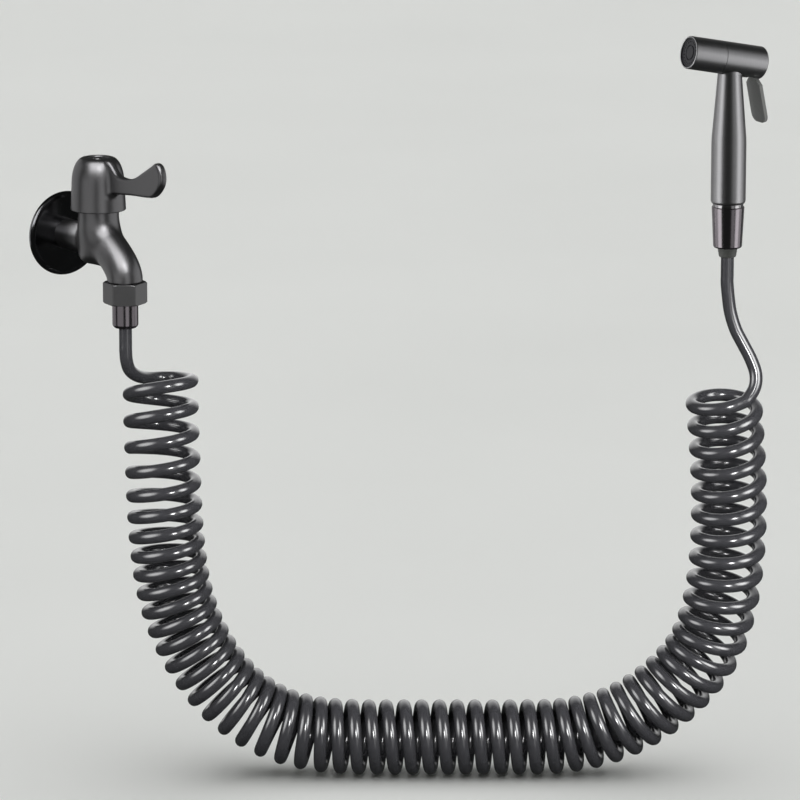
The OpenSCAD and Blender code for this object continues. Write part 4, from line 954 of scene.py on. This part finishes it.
print("under the head the grip's radius is", round(float(grip_radius(saddle_height(0, 0))), 2))


# %% Grid of the grip
def grip_grid(around=144):
    """Rows up the turned outside as far as LEVEL_TOP, then rows shared out between there and the
    saddle with a small hollow flare under the head, and down the inside."""
    f = np.linspace(0, 2 * np.pi, around, endpoint=False)

    def ring(r, z):
        return np.stack([r * np.cos(f), r * np.sin(f), z], -1)[None]

    lower = grip_outside[grip_outside[:, 1] < LEVEL_TOP]
    lower = np.concatenate([lower, [[grip_radius(LEVEL_TOP), LEVEL_TOP]]])
    rows = [revolved(lower, around)]
    top_r = np.full(around, NECK_R)
    for _ in range(4):
        top = saddle_height(top_r * np.cos(f), top_r * np.sin(f))
        top_r = grip_radius(top) + HOLLOW_OUT
    near_saddle = 1 - 0.1 * (1 - np.linspace(0.1, 1, 10)) ** 2
    for share in np.concatenate([np.linspace(0.1, 0.9, 8), near_saddle]):
        z = LEVEL_TOP + share * (top - LEVEL_TOP)
        left = np.clip(1 - (top - z) / HOLLOW_HIGH, 0, 1)
        rows.append(ring(grip_radius(z) + HOLLOW_OUT * (1 - np.sqrt(1 - left ** 2)), z))
    rows.append(ring(NECK_BORE_R, saddle_height(NECK_BORE_R * np.cos(f), NECK_BORE_R * np.sin(f))))
    for r, z in [(NECK_BORE_R, 124), (GRIP_BORE_R - 0.8, 84), (GRIP_BORE_R, 74), (GRIP_BORE_R, 32)]:
        rows.append(ring(r, np.full(around, z)))
    return np.concatenate(rows)


grip = grid_piece("grip_brushed", grip_grid(), SPRAYER, brushed_grip, close_rows=True)
even_shading(grip)
dress(grip, "grip_tube", "sprayer", brushed_grip)

# %% [markdown]
# ## The valve's spring
# A compression spring of 0.8 mm wire: a helix of six turns between the gland and the stem's
# shoulder. One of its ends stands still and the other moves with the stem. It is wound from its
# formula and goes with the sprayer.

# %% Valve spring
# Radii of the helix and the wire, where the spring starts and ends along the head, the valve's
# stroke, and the turns
SPRING_R, WIRE_R, SPRING_FROM, SPRING_TO, STROKE = 3.4, 0.4, -9.48, -1.62, 1.74
SPRING_TURNS = 6
turns_made = np.linspace(0, SPRING_TURNS, SPRING_TURNS * 24 + 1)
spring_line = np.stack([
    SPRING_R * np.cos(2 * np.pi * turns_made), SPRING_R * np.sin(2 * np.pi * turns_made),
    SPRING_FROM + WIRE_R + (SPRING_TO - SPRING_FROM - 2 * WIRE_R) * turns_made / SPRING_TURNS],
    1)
spring = grid_piece("valve_spring_wound", tube_grid(spring_line, WIRE_R, sides=10), HEAD_AXIS,
                    bright_steel)
dress(spring, "valve_spring", "sprayer", bright_steel)
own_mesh(spring)

# %% [markdown]
# ## Parts with small rounded edges
# The head's body is milled and the trigger is stamped: their shape is right as packed, and only
# their sharp edges give them away. A merged copy gets a narrow bevel on every edge that is sharper
# than 35 degrees.

# %% Edge rounding
def edged(name, part, body, look, width):
    """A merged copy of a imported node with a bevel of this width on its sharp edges."""
    mesh = nodes[part].data.copy()
    work = bmesh.new()
    work.from_mesh(mesh)
    bmesh.ops.remove_doubles(work, verts=work.verts, dist=2e-6)
    bmesh.ops.dissolve_limit(work, angle_limit=math.radians(0.5), verts=work.verts,
                             edges=work.edges)
    work.to_mesh(mesh)
    work.free()
    smooth(mesh)
    piece = put(name, mesh)
    bevel = piece.modifiers.new("edges", "BEVEL")
    bevel.width = width / 1000
    bevel.segments = 3
    bevel.limit_method = "ANGLE"
    bevel.angle_limit = math.radians(35)
    bevel.use_clamp_overlap = True
    even_shading(piece)
    print(f"{name}: {len(mesh.polygons)} faces before its edges are rounded")
    return dress(piece, part, body, look)


edged("head_body_turned", "head_body", "sprayer", brushed_head, 0.25)
edged("trigger_pressed", "trigger", "trigger", trigger_grey, 0.5)

# %% [markdown]
# ## Light sets
# Each piece joins the light set of its part; the cast body is in two.

# %% Share the light out
SPRAYER_BEYOND = 0.25  # metres along X
for part in [o for o in bpy.data.objects if o.type == "MESH" and o != floor]:
    middle = sum(corner[0] for corner in part.bound_box) / 8
    which = ("hose" if part == hose else "flange" if part == flange
             else "sprayer" if middle > SPRAYER_BEYOND else "tap")
    LIT[which].objects.link(part)
LIT["neck"].objects.link(tap_body)
